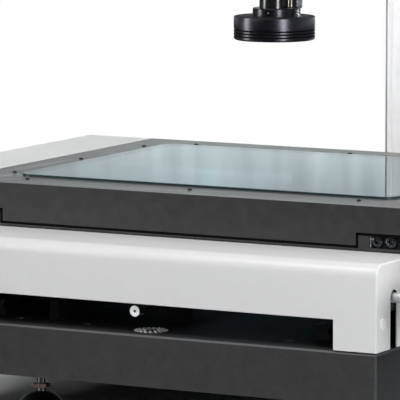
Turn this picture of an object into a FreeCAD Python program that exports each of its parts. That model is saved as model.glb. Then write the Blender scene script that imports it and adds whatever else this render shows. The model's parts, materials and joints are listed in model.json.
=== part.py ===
import FreeCAD, Part
import math
import os
import re

import Sketcher

# A manual vision measuring machine: a granite base on levelling feet, a Y carriage under
# a white cover, an X stage with a glass plate, and a Z head with a zoom lens and ring light.
# X runs to the right, Y to the back and Z up. The origin is on the floor, in the middle
# of the machine's box. Every size is in millimetres.

Vector = FreeCAD.Vector
doc = FreeCAD.newDocument("measuring_machine")
dims = doc.addObject("Spreadsheet::Sheet", "dims")
places = doc.addObject("Spreadsheet::Sheet", "places")

# Driving sizes, each set by itself
SIZES = [
    ("granite_width", 434),
    ("granite_depth", 760),
    ("granite_height", 42),
    ("granite_chamfer", 1.5),
    ("insert_diameter", 28),
    ("insert_offset", 3),
    ("insert_depth", 12),
    ("insert_setback", 26),
    ("foot_height", 42),
    ("foot_inset_x", 85),
    ("foot_inset_y", 80),
    ("foot_stud_diameter", 8),
    ("foot_stud_grip", 25),
    ("foot_pad_diameter", 44),
    ("foot_pad_dome", 24),
    ("foot_pad_height", 16.2),
    ("foot_nut_flats", 13),
    ("foot_nut_height", 3.6),
    ("foot_nut_gap", 2.8),
    ("cover_depth", 498),
    ("cover_height", 70),
    ("cover_gap", 0.8),
    ("cover_wall", 1.5),
    ("cover_round", 11),
    ("cover_edge", 1.2),
    ("cutout_height", 25),
    ("cover_leg", 37.6),
    ("shaft_setback", 31.4),
    ("shaft_rise", 41),
    ("shaft_diameter", 8),
    ("shaft_recess", 4),
    ("shaft_grip", 18),
    ("slot_width", 12.4),
    ("plug_diameter", 9.5),
    ("plug_setback", 10),
    ("plug_rise", 22.4),
    ("plug_proud", 1.2),
    ("rail_width", 15),
    ("rail_height", 13),
    ("rail_groove", 2),
    ("block_width", 34),
    ("block_height", 24),
    ("block_length", 57),
    ("short_block_length", 40),
    ("block_clearance", 0.4),
    ("y_rail_inset", 67),
    ("y_rail_start", 40),
    ("y_rail_end_gap", 15),
    ("y_block_offset", 75),
    ("z_travel", 100),
    ("casting_inset", 13),
    ("casting_side", 30),
    ("casting_plate", 20),
    ("casting_setback", 90),
    ("casting_rear_inset", 84),
    ("casting_bar", 34),
    ("pad_border", 2),
    ("bracket_width", 14),
    ("bracket_thickness", 12),
    ("bracket_side", 10),
    ("bracket_foot", 9),
    ("bracket_gap", 3),
    ("beam_width", 10),
    ("beam_height", 6),
    ("y_rod_diameter", 9),
    ("y_rod_rise", 18.3),
    ("y_rod_start", 4),
    ("y_rod_end_gap", 30),
    ("rod_centre_diameter", 2.4),
    ("rod_centre_depth", 3),
    ("cradle_width", 16),
    ("cradle_length", 15),
    ("cradle_front_inset", 76),
    ("cradle_rear_inset", 26),
    ("roller_gap", 0.2),
    ("y_roller_rear_inset", 66),
    ("roller_width", 10),
    ("roller_clearance", 1),
    ("pulley_radius", 9),
    ("pulley_width", 5),
    ("belt_thickness", 1.5),
    ("belt_gap", 0.3),
    ("belt_clearance", 0.5),
    ("running_gap", 0.05),
    ("stage_setback", 67),
    ("stage_inset", 3),
    ("stage_rear_inset", 77),
    ("stage_top", 106.5),
    ("stage_round", 3),
    ("apron_height", 32),
    ("apron_wall", 6),
    ("plate_thickness", 12),
    ("notch_left", 53.5),
    ("notch_right", 48),
    ("notch_height", 10.5),
    ("glass_border", 38.5),
    ("glass_end_border", 45),
    ("glass_round", 13),
    ("glass_thickness", 8),
    ("glass_proud", 1.5),
    ("glass_gap", 0.3),
    ("glass_ledge", 10),
    ("glass_shift", 4),
    ("strip_height", 2.4),
    ("strip_rise", 0.8),
    ("strip_depth", 5),
    ("ear_width", 10.5),
    ("ear_gap", 1.5),
    ("ear_lip", 0.8),
    ("screw_side_inset", 25),
    ("screw_side_pitch", 113),
    ("screw_row_inset", 60),
    ("screw_row_front", 30),
    ("screw_row_rear", 27),
    ("screw_head_diameter", 9.5),
    ("screw_shank_diameter", 4),
    ("screw_sunk", 0.3),
    ("end_cover_width", 67),
    ("end_cover_wall", 2),
    ("x_rail_front", 105),
    ("x_rail_rear_inset", 25),
    ("x_rail_reach", 56),
    ("x_block_offset", 24),
    ("x_rod_diameter", 8),
    ("x_rod_setback", 79.5),
    ("x_rod_rise", 85),
    ("x_roller_radius", 27),
    ("x_wheel_inset", 19),
    ("x_belt_setback", 22),
    ("axle_proud", 2),
    ("window_gap", 1.5),
    ("x_axle_grip", 18),
    ("rod_block_depth", 18),
    ("cap_screw_diameter", 10.9),
    ("cap_screw_pitch", 12.2),
    ("cap_screw_drop", 0.9),
    ("cap_screw_proud", 1.5),
    ("cap_screw_seat", 2),
    ("cap_socket_depth", 1.8),
    ("wheel_diameter", 56),
    ("wheel_width", 22),
    ("wheel_standoff", 26),
    ("wheel_bore_wall", 6),
    ("wheel_rim", 5),
    ("wheel_edge", 1.5),
    ("flute_count", 24),
    ("flute_diameter", 5),
    ("z_wheel_diameter", 76),
    ("z_wheel_start", 86),
    ("lens_setback", 248),
    ("column_setback", 617),
    ("column_width", 140),
    ("column_depth", 130),
    ("column_top", 812),
    ("column_wall", 6),
    ("column_round", 8),
    ("column_cap", 4),
    ("flange_border", 12),
    ("flange_height", 15),
    ("flange_screw_diameter", 10),
    ("flange_screw_inset", 18),
    ("z_rail_offset", 45),
    ("z_rail_start", 262),
    ("z_rail_length", 490),
    ("z_block_offset", 62),
    ("slide_width", 124),
    ("slide_height", 200),
    ("slide_thickness", 20),
    ("slide_middle", 500),
    ("z_shaft_diameter", 10),
    ("tooth_module", 1.5),
    ("addendum_ratio", 0.95),
    ("dedendum_ratio", 1.2),
    ("pressure_angle", 20),
    ("pinion_teeth", 34),
    ("gear_width", 16),
    ("gear_backlash", 0.2),
    ("gear_side_gap", 1),
    ("rack_spare", 14),
    ("arm_width", 84),
    ("arm_root_height", 180),
    ("arm_nose_height", 92),
    ("arm_nose_radius", 42),
    ("arm_neck", 52),
    ("arm_shoulder", 70),
    ("arm_border", 12),
    ("arm_recess", 6),
    ("arm_slit", 2),
    ("arm_bottom", 428),
    ("ring_bottom", 218.6),
    ("ring_diameter", 69),
    ("ring_height", 19.8),
    ("ring_bore", 36),
    ("ring_groove", 0.9),
    ("groove_start", 2.9),
    ("groove_pitch", 2.55),
    ("groove_width", 1.2),
    ("groove_slope", 0.3),
    ("ring_chamfer", 1.2),
    ("ring_lip", 4),
    ("ring_edge", 0.8),
    ("ring_roof", 5),
    ("diffuser_border", 1.5),
    ("diffuser_edge", 0.5),
    ("collar_diameter", 37),
    ("collar_height", 7),
    ("set_screw_diameter", 3.2),
    ("set_screw_depth", 3),
    ("nose_diameter", 25.6),
    ("nose_length", 120),
    ("lens_body_diameter", 44),
    ("lens_taper", 6),
    ("lens_step", 4),
    ("lens_crown", 8),
    ("zoom_ring_diameter", 50),
    ("zoom_ring_height", 24),
    ("zoom_ring_rise", 24),
    ("zoom_ring_wall", 3),
    ("zoom_ring_edge", 1),
    ("camera_side", 44),
    ("camera_height", 52),
    ("camera_gap", 40),
    ("camera_mount_diameter", 26),
    ("camera_mount_height", 8),
    ("camera_socket_diameter", 14),
    ("camera_socket_height", 8),
    ("connector_diameter", 12.5),
    ("connector_length", 16),
    ("connector_rise", 8),
    ("connector_post", 5),
    ("connector_offset", 21),
    ("light_diameter", 46),
    ("light_wall", 5),
    ("light_tube_height", 18),
    ("light_window_sunk", 4),
    ("light_window_height", 3),
    ("bridge_height", 36),
    ("tunnel_width", 24),
    ("tunnel_height", 30),
    ("scale_width", 9),
    ("scale_height", 16),
    ("read_head_width", 20),
    ("read_head_offset", 26),
    ("read_head_gap", 1),
    ("y_scale_offset", 100),
    ("panel_width", 96),
    ("panel_height", 70),
    ("panel_thickness", 2),
    ("panel_bottom", 60),
    ("panel_border", 8),
    ("inlet_width", 27),
    ("inlet_height", 20),
    ("inlet_depth", 16),
    ("inlet_lip", 4),
    ("inlet_wall", 2),
    ("inlet_floor", 5),
    ("pin_width", 2),
    ("pin_height", 4),
    ("pin_length", 12),
    ("pin_pitch", 7),
    ("switch_width", 13),
    ("switch_height", 19),
    ("rocker_gap", 0.3),
    ("rocker_sunk", 4),
    ("rocker_proud", 1.5),
]

# Places and sizes that follow from the driving ones
DERIVED = [
    ("half_granite", "granite_width / 2"),
    ("stage_width", "granite_width - 2 * stage_inset"),
    ("stage_depth", "cover_depth - stage_setback - stage_rear_inset"),
    ("stage_middle", "stage_setback + stage_depth / 2 + glass_shift"),
    ("glass_width", "stage_width - 2 * glass_border"),
    ("glass_depth", "stage_depth - 2 * glass_end_border"),
    ("casting_rear", "cover_depth - casting_rear_inset"),
    ("x_rail_rear", "casting_rear - x_rail_rear_inset"),
    ("y_roller_setback", "cover_depth - y_roller_rear_inset"),
    ("casting_half_width", "half_granite - casting_inset"),
    ("y_rail_offset", "half_granite - y_rail_inset"),
    ("casting_opening", "y_rail_offset - casting_side"),
    ("screw_side_offset", "stage_width / 2 - screw_side_inset"),
    ("screw_row_pitch", "stage_width / 2 - screw_row_inset"),
    ("x_rail_length", "stage_width + 2 * x_rail_reach"),
    ("x_wheel_offset", "half_granite - x_wheel_inset"),
    ("flange_setback", "column_setback - flange_border"),
    ("y_rail_length", "flange_setback - y_rail_start - y_rail_end_gap"),
    ("y_rod_length", "flange_setback - y_rod_start - y_rod_end_gap"),
    ("wheel_reach", "wheel_standoff + wheel_width"),
    ("front", "wheel_reach - (granite_depth + wheel_reach) / 2"),
    ("granite_top", "foot_height + granite_height"),
    ("lens_y", "front + lens_setback"),
    ("stage_y", "front + stage_middle"),
    ("cover_top", "granite_top + cover_height"),
    ("cover_bottom", "granite_top + cover_gap"),
    ("shaft_y", "front + shaft_setback"),
    ("shaft_z", "granite_top + shaft_rise"),
    ("y_roller_y", "front + y_roller_setback"),
    ("y_rod_z", "granite_top + y_rod_rise"),
    ("y_pitch_radius", "shaft_rise - y_rod_rise - y_rod_diameter / 2"),
    ("stage_front", "front + stage_setback"),
    ("stage_back", "stage_front + stage_depth"),
    ("stage_z", "granite_top + stage_top"),
    ("plate_z", "stage_z - plate_thickness"),
    ("apron_z", "stage_z - apron_height"),
    ("glass_z", "stage_z + glass_proud - glass_thickness"),
    ("strip_z", "cover_top + strip_rise"),
    ("x_block_z", "plate_z - block_height"),
    ("casting_top", "cover_top - cover_wall"),
    ("casting_z", "casting_top - casting_plate"),
    ("x_rod_y", "front + x_rod_setback"),
    ("x_rod_z", "granite_top + x_rod_rise"),
    ("x_roller_z", "x_rod_z - x_rod_diameter / 2 - x_roller_radius"),
    ("column_front", "front + column_setback"),
    ("column_back", "column_front + column_depth"),
    ("slide_z", "granite_top + slide_middle"),
    ("slide_back", "column_front - block_height"),
    ("slide_front", "slide_back - slide_thickness"),
    ("pinion_y", "slide_back - slide_thickness / 2"),
    ("pinion_radius", "tooth_module * pinion_teeth / 2"),
    ("rack_y", "pinion_y + pinion_radius"),
    ("ring_z", "granite_top + ring_bottom"),
    ("ring_top", "ring_z + ring_height"),
    ("collar_top", "ring_top + collar_height"),
    ("arm_z", "granite_top + arm_bottom"),
    ("lens_body_z", "ring_top + nose_length"),
    ("zoom_ring_z", "lens_body_z + zoom_ring_rise"),
    ("lens_body_top", "arm_z + arm_nose_height + camera_gap"),
    ("half_window_x", "glass_width / 2 - glass_ledge"),
    ("half_window_y", "glass_depth / 2 - glass_ledge"),
]

nodes = {}
words = {}
tolerance = 1e-6


def fill_sheet(sheet, rows):
    """Writes one alias in each row of the sheet; a text value is a formula."""
    for row, (alias, entry) in enumerate(rows, start=1):
        cell = "B%d" % row
        sheet.set("A%d" % row, alias.replace("_", " "))
        text = "=" + formula(entry, sheet) if isinstance(entry, str) else str(entry)
        sheet.set(cell, text)
        sheet.setAlias(cell, alias)
        words[alias] = sheet
    doc.recompute()


def formula(text, home=None):
    """Puts the sheet's name before each alias, except inside that sheet."""
    parts = re.split(r"([a-z][a-z_]*)", str(text))
    named = []
    for part in parts:
        sheet = words.get(part)
        named.append(sheet.Name + "." + part if sheet and sheet is not home else part)
    return "".join(named)


def size(alias):
    return float(words[alias].get(alias))


fill_sheet(dims, SIZES)
fill_sheet(places, DERIVED)


def bind(thing, **texts):
    for name, text in texts.items():
        thing.setExpression(name.replace("__", "."), formula(text))
    return thing


def place(thing, x, y, z):
    return bind(thing, Placement__Base__x=x, Placement__Base__y=y, Placement__Base__z=z)


def block(name, length, width, height, x, y, z):
    """A box whose corner is at x, y, z."""
    thing = doc.addObject("Part::Box", name)
    bind(thing, Length=length, Width=width, Height=height)
    return place(thing, x, y, z)


TURNS = {
    "z": FreeCAD.Rotation(),
    "x": FreeCAD.Rotation(Vector(0, 1, 0), 90),
    "y": FreeCAD.Rotation(Vector(1, 0, 0), -90),
}


def cylinder(name, radius, height, x, y, z, axis="z"):
    """A cylinder that starts at x, y, z and runs along the axis."""
    thing = doc.addObject("Part::Cylinder", name)
    thing.Placement.Rotation = TURNS[axis]
    bind(thing, Radius=radius, Height=height)
    return place(thing, x, y, z)


def fuse(name, pieces):
    thing = doc.addObject("Part::MultiFuse", name)
    thing.Shapes = pieces
    return thing


def cut(name, base, tools):
    thing = doc.addObject("Part::Cut", name)
    thing.Base = base
    thing.Tool = tools[0] if len(tools) == 1 else fuse(name + "_tools", tools)
    return thing


def group(name, pieces):
    """Separate solids that share one node."""
    thing = doc.addObject("Part::Compound", name)
    thing.Links = pieces
    return thing


def node(thing, label):
    thing.Label = label
    nodes[label] = thing
    return thing


def origin_feature(body, role):
    return next(item for item in body.Origin.OriginFeatures if item.Role == role)


def sketch(body, role, offset=None):
    """A sketch on one of the body's own origin planes, moved along the plane's normal."""
    drawn = body.newObject("Sketcher::SketchObject", body.Name + "_sketch")
    drawn.AttachmentSupport = [(origin_feature(body, role), "")]
    drawn.MapMode = "FlatFace"
    if offset is not None:
        bind(drawn, AttachmentOffset__Base__z=offset)
    return drawn


def hold(drawn, kind, ends, start, text):
    index = drawn.addConstraint(Sketcher.Constraint(kind, *ends, start))
    drawn.setExpression("Constraints[%d]" % index, formula(text))


def outline(drawn, points):
    """A closed outline of straight lines, each corner held at its two formulas."""
    count = len(points)
    first = drawn.GeometryCount
    start = []
    for step in range(count):
        angle = 2 * math.pi * step / count
        start.append(Vector(math.cos(angle), math.sin(angle), 0))
    for step in range(count):
        drawn.addGeometry(Part.LineSegment(start[step], start[(step + 1) % count]), False)
    for step in range(count):
        following = first + (step + 1) % count
        drawn.addConstraint(Sketcher.Constraint("Coincident", first + step, 2, following, 1))
    for step, (across, along) in enumerate(points):
        ends = (-1, 1, first + step, 1)
        hold(drawn, "DistanceX", ends, start[step].x, across)
        hold(drawn, "DistanceY", ends, start[step].y, along)


def rectangle(drawn, left, right, low, high):
    outline(drawn, [(left, low), (right, low), (right, high), (left, high)])


def circle(drawn, across, along, radius):
    first = drawn.addGeometry(Part.Circle(Vector(1, 1, 0), Vector(0, 0, 1), 1), False)
    hold(drawn, "DistanceX", (-1, 1, first, 3), 1, across)
    hold(drawn, "DistanceY", (-1, 1, first, 3), 1, along)
    hold(drawn, "Radius", (first,), 1, radius)


def feature(body, kind, drawn, length=None, **settings):
    """A pad, pocket, revolution or groove made from one sketch."""
    made = body.newObject("PartDesign::" + kind, body.Name + "_" + kind.lower())
    made.Profile = drawn
    if length is not None:
        bind(made, Length=length)
    for name, setting in settings.items():
        setattr(made, name, setting)
    return made


def pocket(body, drawn, length, **settings):
    """A pocket that must take material away."""
    doc.recompute()
    before = body.Shape.Volume
    made = feature(body, "Pocket", drawn, length, **settings)
    doc.recompute()
    if body.Shape.Volume > before - 0.01:
        raise ValueError("a pocket of %s cuts nothing" % body.Name)
    return made


def edges_where(shape, test):
    return ["Edge%d" % (i + 1) for i, edge in enumerate(shape.Edges) if test(edge)]


def upright(edge):
    """A straight edge that runs along Z."""
    box = edge.BoundBox
    return box.XLength < tolerance and box.YLength < tolerance and box.ZLength > tolerance


def level_at(edge, z):
    box = edge.BoundBox
    return abs(box.ZMin - z) < tolerance and abs(box.ZMax - z) < tolerance


def dress(body, kind, base, test, amount):
    """A fillet or chamfer on the edges that pass the test."""
    doc.recompute()
    made = body.newObject("PartDesign::" + kind, body.Name + "_" + kind.lower())
    made.Base = (base, edges_where(base.Shape, test))
    bind(made, **{"Radius" if kind == "Fillet" else "Size": amount})
    return made


def new_body(label):
    return node(doc.addObject("PartDesign::Body", label + "_body"), label)


# Granite base, inserts and levelling feet
FEET = [(sx, sy) for sy in ("front", "back") for sx in ("-1", "1")]


def foot_place(side, end):
    x = side + " * (half_granite - foot_inset_x)"
    y = "front + foot_inset_y" if end == "front" else "front + granite_depth - foot_inset_y"
    return x, y


def make_granite():
    body = new_body("granite_base")
    drawn = sketch(body, "XY_Plane", "foot_height")
    rectangle(drawn, "-half_granite", "half_granite", "front", "front + granite_depth")
    slab = feature(body, "Pad", drawn, "granite_height")
    holes = sketch(body, "XY_Plane", "foot_height")
    for side, end in FEET:
        x, y = foot_place(side, end)
        circle(holes, x, y, "foot_stud_diameter / 2")
    pocket(body, holes, "foot_stud_grip", Reversed=True)
    mouths = sketch(body, "XY_Plane", "granite_top")
    circle(mouths, "insert_offset", "front + insert_setback", "insert_diameter / 2")
    sunk = pocket(body, mouths, "insert_depth")
    dress(body, "Chamfer", sunk, outer_edge, "granite_chamfer")
    insert = cylinder("insert", "insert_diameter / 2", "insert_depth", "insert_offset",
                      "front + insert_setback", "granite_top - insert_depth")
    dimple = cylinder("insert_dimple", "insert_diameter / 5", "insert_depth", "insert_offset",
                      "front + insert_setback", "granite_top - insert_depth / 2")
    node(cut("insert_cut", insert, [dimple]), "granite_insert")


def outer_edge(edge):
    """The slab's top and upright edges are the straight ones that reach its top."""
    straight = edge.Curve.TypeId == "Part::GeomLine"
    return straight and edge.BoundBox.ZMax > size("granite_top") - tolerance


def make_feet():
    studs = []
    nuts = []
    pads = []
    for side, end in FEET:
        x, y = foot_place(side, end)
        studs.append(cylinder("stud", "foot_stud_diameter / 2",
                              "foot_height - foot_pad_height + foot_stud_grip",
                              x, y, "foot_pad_height"))
        nut = doc.addObject("Part::Prism", "foot_nut")
        nut.Polygon = 6
        bind(nut, Circumradius="foot_nut_flats / 2 / cos(30)", Height="foot_nut_height")
        place(nut, x, y, "foot_pad_height + foot_nut_gap")
        bore = cylinder("nut_bore", "foot_stud_diameter / 2", "foot_nut_height", x, y,
                        "foot_pad_height + foot_nut_gap")
        nuts.append(cut("foot_nut_cut", nut, [bore]))
        puck = cylinder("pad_puck", "foot_pad_diameter / 2", "foot_pad_height", x, y, "0")
        dome = doc.addObject("Part::Sphere", "pad_dome")
        bind(dome, Radius="foot_pad_dome")
        place(dome, x, y, "foot_pad_height - foot_pad_dome")
        pad = doc.addObject("Part::MultiCommon", "pad")
        pad.Shapes = [puck, dome]
        pads.append(pad)
    node(group("foot_studs_group", studs), "foot_studs")
    node(group("foot_nuts_group", nuts), "foot_lock_nuts")
    node(group("foot_pads_group", pads), "foot_pads")


# Profile rails and the bearing blocks that run on them
def rail_section(left, base, sign):
    """The rail's outline, with a running groove down each side."""
    right = left + " + rail_width"
    inner_left = left + " + rail_groove"
    inner_right = right + " - rail_groove"
    levels = ["%s + %s * rail_height * %s" % (base, sign, part) for part in
              ("0", "0.45", "0.55", "0.75", "0.85", "1")]
    low, waist_low, waist_mid, waist_high, head, top = levels
    return [(left, low), (right, low), (right, waist_low), (inner_right, waist_mid),
            (inner_right, waist_high), (right, head), (right, top), (left, top),
            (left, head), (inner_left, waist_high), (inner_left, waist_mid),
            (left, waist_low)]


def y_rail(label, side):
    body = new_body(label)
    drawn = sketch(body, "XZ_Plane", "-(front + y_rail_start)")
    left = side + " * y_rail_offset - rail_width / 2"
    outline(drawn, rail_section(left, "granite_top", "1"))
    feature(body, "Pad", drawn, "y_rail_length", Reversed=True)


def channel(name, length, across, along, base, axis, grip="1"):
    """A bearing block: a box with a channel that clears its rail. The base is the level of
    the rail's foot and grip says whether the rail stands up (1) or hangs down (-1)."""
    low = base if grip == "1" else base + " - block_height"
    gap = "rail_height + block_clearance"
    clear = "rail_width + 2 * block_clearance"
    skirt = "block_clearance * 2"
    body_low = low + " + " + skirt if grip == "1" else low
    slot_low = low if grip == "1" else base + " - (" + gap + ")"
    if axis == "y":
        body = block(name, "block_width", length, "block_height - " + skirt,
                     across + " - block_width / 2", along + " - (" + length + ") / 2", body_low)
        slot = block(name + "_slot", clear, length, gap,
                     across + " - (" + clear + ") / 2", along + " - (" + length + ") / 2",
                     slot_low)
    elif axis == "x":
        body = block(name, length, "block_width", "block_height - " + skirt,
                     along + " - (" + length + ") / 2", across + " - block_width / 2", body_low)
        slot = block(name + "_slot", length, clear, gap,
                     along + " - (" + length + ") / 2", across + " - (" + clear + ") / 2",
                     slot_low)
    else:
        front = "column_front - block_height"
        body = block(name, "block_width", "block_height - " + skirt, length,
                     across + " - block_width / 2", front, along + " - (" + length + ") / 2")
        slot = block(name + "_slot", clear, gap, length,
                     across + " - (" + clear + ") / 2", "column_front - (" + gap + ")",
                     along + " - (" + length + ") / 2")
    return cut(name + "_cut", body, [slot])


# Y drive: the polished rod, its cradles, the friction roller and the belt
def make_y_rod():
    rod = cylinder("y_rod", "y_rod_diameter / 2", "y_rod_length", "0",
                   "front + y_rod_start", "y_rod_z", "y")
    dimple = cylinder("y_rod_centre", "rod_centre_diameter / 2", "rod_centre_depth", "0",
                      "front + y_rod_start", "y_rod_z", "y")
    node(cut("y_rod_cut", rod, [dimple]), "y_drive_rod")
    cradles = []
    for at in ("front + y_rod_start + cradle_front_inset",
               "front + y_rod_start + y_rod_length - cradle_rear_inset"):
        foot = block("cradle", "cradle_width", "cradle_length", "y_rod_rise",
                     "-cradle_width / 2", at + " - cradle_length / 2", "granite_top")
        groove = cylinder("cradle_groove", "y_rod_diameter / 2", "cradle_length", "0",
                          at + " - cradle_length / 2", "y_rod_z", "y")
        cradles.append(cut("cradle_cut", foot, [groove]))
    node(group("cradles", cradles), "y_rod_cradles")


def belt_outline(span, radius):
    """A face bounded by two half circles joined by straight runs."""
    top = Part.LineSegment(Vector(0, radius, 0), Vector(span, radius, 0))
    nose = Part.Arc(Vector(span, radius, 0), Vector(span + radius, 0, 0),
                    Vector(span, -radius, 0))
    low = Part.LineSegment(Vector(span, -radius, 0), Vector(0, -radius, 0))
    tail = Part.Arc(Vector(0, -radius, 0), Vector(-radius, 0, 0), Vector(0, radius, 0))
    edges = [curve.toShape() for curve in (top, nose, low, tail)]
    return Part.Face(Part.Wire(edges))


def belt(label, span, placement):
    """A closed belt that lies round two equal pulleys, span apart."""
    inner = size("pulley_radius") + size("belt_gap")
    outer = inner + size("belt_thickness")
    loop = belt_outline(span, outer).cut(belt_outline(span, inner))
    thing = doc.addObject("Part::Feature", label + "_loop")
    thing.Shape = loop.extrude(Vector(0, 0, size("pulley_width")))
    thing.Placement = placement
    node(thing, label)


def make_y_drive():
    inside = "half_granite - cover_wall"
    belt_x = "(" + inside + " - belt_clearance - pulley_width)"
    wheel_shaft = [
        cylinder("y_shaft", "shaft_diameter / 2",
                 "wheel_reach - shaft_recess + casting_inset + shaft_grip",
                 "casting_half_width - shaft_grip", "shaft_y", "shaft_z", "x"),
        cylinder("y_pulley", "pulley_radius", "pulley_width", belt_x, "shaft_y", "shaft_z", "x"),
    ]
    node(fuse("y_wheel_shaft_fuse", wheel_shaft), "y_wheel_shaft")
    roller_shaft = [
        cylinder("y_roller_axle", "shaft_diameter / 2",
                 inside + " - 2 * belt_clearance + roller_width", "-roller_width", "y_roller_y",
                 "shaft_z", "x"),
        cylinder("y_roller", "y_pitch_radius - roller_gap", "roller_width",
                 "-roller_width / 2", "y_roller_y", "shaft_z", "x"),
        cylinder("y_driven_pulley", "pulley_radius", "pulley_width", belt_x, "y_roller_y",
                 "shaft_z", "x"),
    ]
    node(fuse("y_roller_shaft_fuse", roller_shaft), "y_roller_shaft")
    x = size("half_granite") - size("cover_wall") - size("belt_clearance") - size("pulley_width")
    turned = FreeCAD.Rotation(Vector(0, 1, 0), Vector(0, 0, 1), Vector(1, 0, 0), "XYZ")
    at = Vector(x, size("shaft_y"), size("shaft_z"))
    belt("y_drive_belt", size("y_roller_setback") - size("shaft_setback"),
         FreeCAD.Placement(at, turned))


def make_x_drive():
    wheel_x = "-x_wheel_offset"
    bracket = "bracket_gap + bracket_thickness"
    reach = "x_belt_setback + pulley_width + " + bracket + " + axle_proud"
    wheel_shaft = [
        cylinder("x_shaft", "shaft_diameter / 2", reach + " + wheel_reach - shaft_recess", wheel_x,
                 "front - wheel_reach + shaft_recess", "shaft_z", "y"),
        cylinder("x_pulley", "pulley_radius", "pulley_width", wheel_x,
                 "front + x_belt_setback", "shaft_z", "y"),
    ]
    node(fuse("x_wheel_shaft_fuse", wheel_shaft), "x_wheel_shaft")
    roller_shaft = [
        cylinder("x_axle", "shaft_diameter / 2",
                 "casting_setback + x_axle_grip - x_belt_setback + axle_proud", "0",
                 "front + x_belt_setback - axle_proud", "x_roller_z", "y"),
        cylinder("x_roller", "x_roller_radius - roller_gap", "roller_width - roller_clearance",
                 "0", "x_rod_y - (roller_width - roller_clearance) / 2", "x_roller_z", "y"),
        cylinder("x_driven_pulley", "pulley_radius", "pulley_width", "0",
                 "front + x_belt_setback", "x_roller_z", "y"),
    ]
    node(fuse("x_roller_shaft_fuse", roller_shaft), "x_roller_shaft")
    low = Vector(-size("x_wheel_offset"), size("front") + size("x_belt_setback"),
                 size("shaft_z"))
    high = Vector(0, low.y, size("x_roller_z"))
    run = high - low
    normal = Vector(0, 1, 0)
    turned = FreeCAD.Rotation(run, normal.cross(run), normal, "ZXY")
    belt("x_drive_belt", run.Length, FreeCAD.Placement(low, turned))


# The carriage: casting, blocks, brackets and white cover
def make_carriage():
    body = new_body("carriage_casting")
    half = "casting_half_width"
    plate = sketch(body, "XY_Plane", "casting_z")
    rectangle(plate, "-" + half, half, "front + casting_setback", "front + casting_rear")
    feature(body, "Pad", plate, "casting_plate")
    window = sketch(body, "XY_Plane", "casting_top")
    rectangle(window, "-casting_opening", "casting_opening",
              "front + casting_setback + casting_bar", "front + casting_rear - casting_bar")
    opened = pocket(body, window, "casting_plate")
    dress(body, "Fillet", opened, upright, "cover_round / 2")
    legs = sketch(body, "XY_Plane", "casting_z")
    for side in ("-1", "1"):
        for end in ("-1", "1"):
            x = side + " * y_rail_offset"
            y = "stage_y + " + end + " * y_block_offset"
            rectangle(legs, x + " - block_width / 2", x + " + block_width / 2",
                      y + " - block_length / 2", y + " + block_length / 2")
    feature(body, "Pad", legs, "casting_z - granite_top - block_height", Reversed=True)
    pads = sketch(body, "XY_Plane", "casting_top")
    reach = "x_block_offset + short_block_length / 2 + pad_border"
    for rail in ("x_rail_front", "x_rail_rear"):
        rectangle(pads, "-(" + reach + ")", reach,
                  "front + " + rail + " - block_width / 2 + pad_border",
                  "front + " + rail + " + block_width / 2 - pad_border")
    feature(body, "Pad", pads, "x_block_z - casting_top")
    bearing = sketch(body, "XZ_Plane", "-(front + casting_setback)")
    circle(bearing, "0", "x_roller_z", "shaft_diameter / 2 + running_gap")
    pocket(body, bearing, "x_axle_grip + roller_clearance")

    y_blocks = []
    x_blocks = []
    for side in ("-1", "1"):
        for end in ("-1", "1"):
            y_blocks.append(channel("y_block", "block_length", side + " * y_rail_offset",
                                    "stage_y + " + end + " * y_block_offset",
                                    "granite_top", "y"))
    for rail in ("x_rail_front", "x_rail_rear"):
        for side in ("-1", "1"):
            x_blocks.append(channel("x_block", "short_block_length", "front + " + rail,
                                    side + " * x_block_offset", "plate_z", "x", "-1"))
    node(group("y_blocks", y_blocks), "y_bearing_blocks")
    node(group("x_blocks", x_blocks), "x_bearing_blocks")
    make_brackets()


def make_brackets():
    """Brackets on the casting's ends, with a bored post for each drive shaft."""
    right_x = "casting_half_width - bracket_width"
    behind = "y_roller_setback - casting_rear + bracket_side"
    brackets = [y_bracket("y_front", right_x, "shaft_y - bracket_side",
                          "casting_setback - shaft_setback + bracket_side", "shaft_y")]
    for x in (right_x, "bracket_width"):
        brackets.append(y_bracket("y_rear", x, "front + casting_rear", behind, "y_roller_y"))
    node(group("y_brackets", brackets), "y_shaft_brackets")
    beside = "x_roller_radius + roller_clearance"
    node(group("x_brackets", [
        x_bracket("x_wheel", "-x_wheel_offset", "shaft_z", ["-beam_width / 5"], "bracket_foot"),
        x_bracket("x_roller", "0", "x_roller_z", ["-beam_width - " + beside, beside],
                  beside + " + beam_width"),
    ]), "x_shaft_brackets")


def y_bracket(name, x, arm_y, arm_length, shaft_at):
    """An arm beyond the casting's end and a post under it, bored for a shaft along X."""
    low = "shaft_z - shaft_diameter"
    arm = block(name + "_arm", "bracket_width", arm_length, "bracket_thickness", x, arm_y,
                "casting_top - bracket_thickness")
    post = block(name + "_post", "bracket_width", "2 * bracket_side",
                 "casting_top - (" + low + ")", x, shaft_at + " - bracket_side", low)
    hole = cylinder(name + "_hole", "shaft_diameter / 2 + running_gap", "bracket_width", x,
                    shaft_at, "shaft_z", "x")
    return cut(name + "_bracket", fuse(name + "_joined", [arm, post]), [hole])


def x_bracket(name, shaft_x, shaft_z, beams, reach):
    """A bored plate behind the belt, joined to the casting's front by one or two beams."""
    start = "x_belt_setback + pulley_width + bracket_gap"
    low = shaft_z + " - bracket_foot"
    pieces = [block(name + "_post", "2 * (" + reach + ")", "bracket_thickness",
                    "casting_top - (" + low + ")", shaft_x + " - (" + reach + ")",
                    "front + " + start, low)]
    for offset in beams:
        pieces.append(block(name + "_beam", "beam_width", "casting_setback - (" + start + ")",
                            "beam_height", shaft_x + " + " + offset, "front + " + start,
                            "casting_top - beam_height"))
    hole = cylinder(name + "_hole", "shaft_diameter / 2 + running_gap", "bracket_thickness",
                    shaft_x, "front + " + start, shaft_z, "y")
    return cut(name + "_bracket", fuse(name + "_joined", pieces), [hole])


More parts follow.
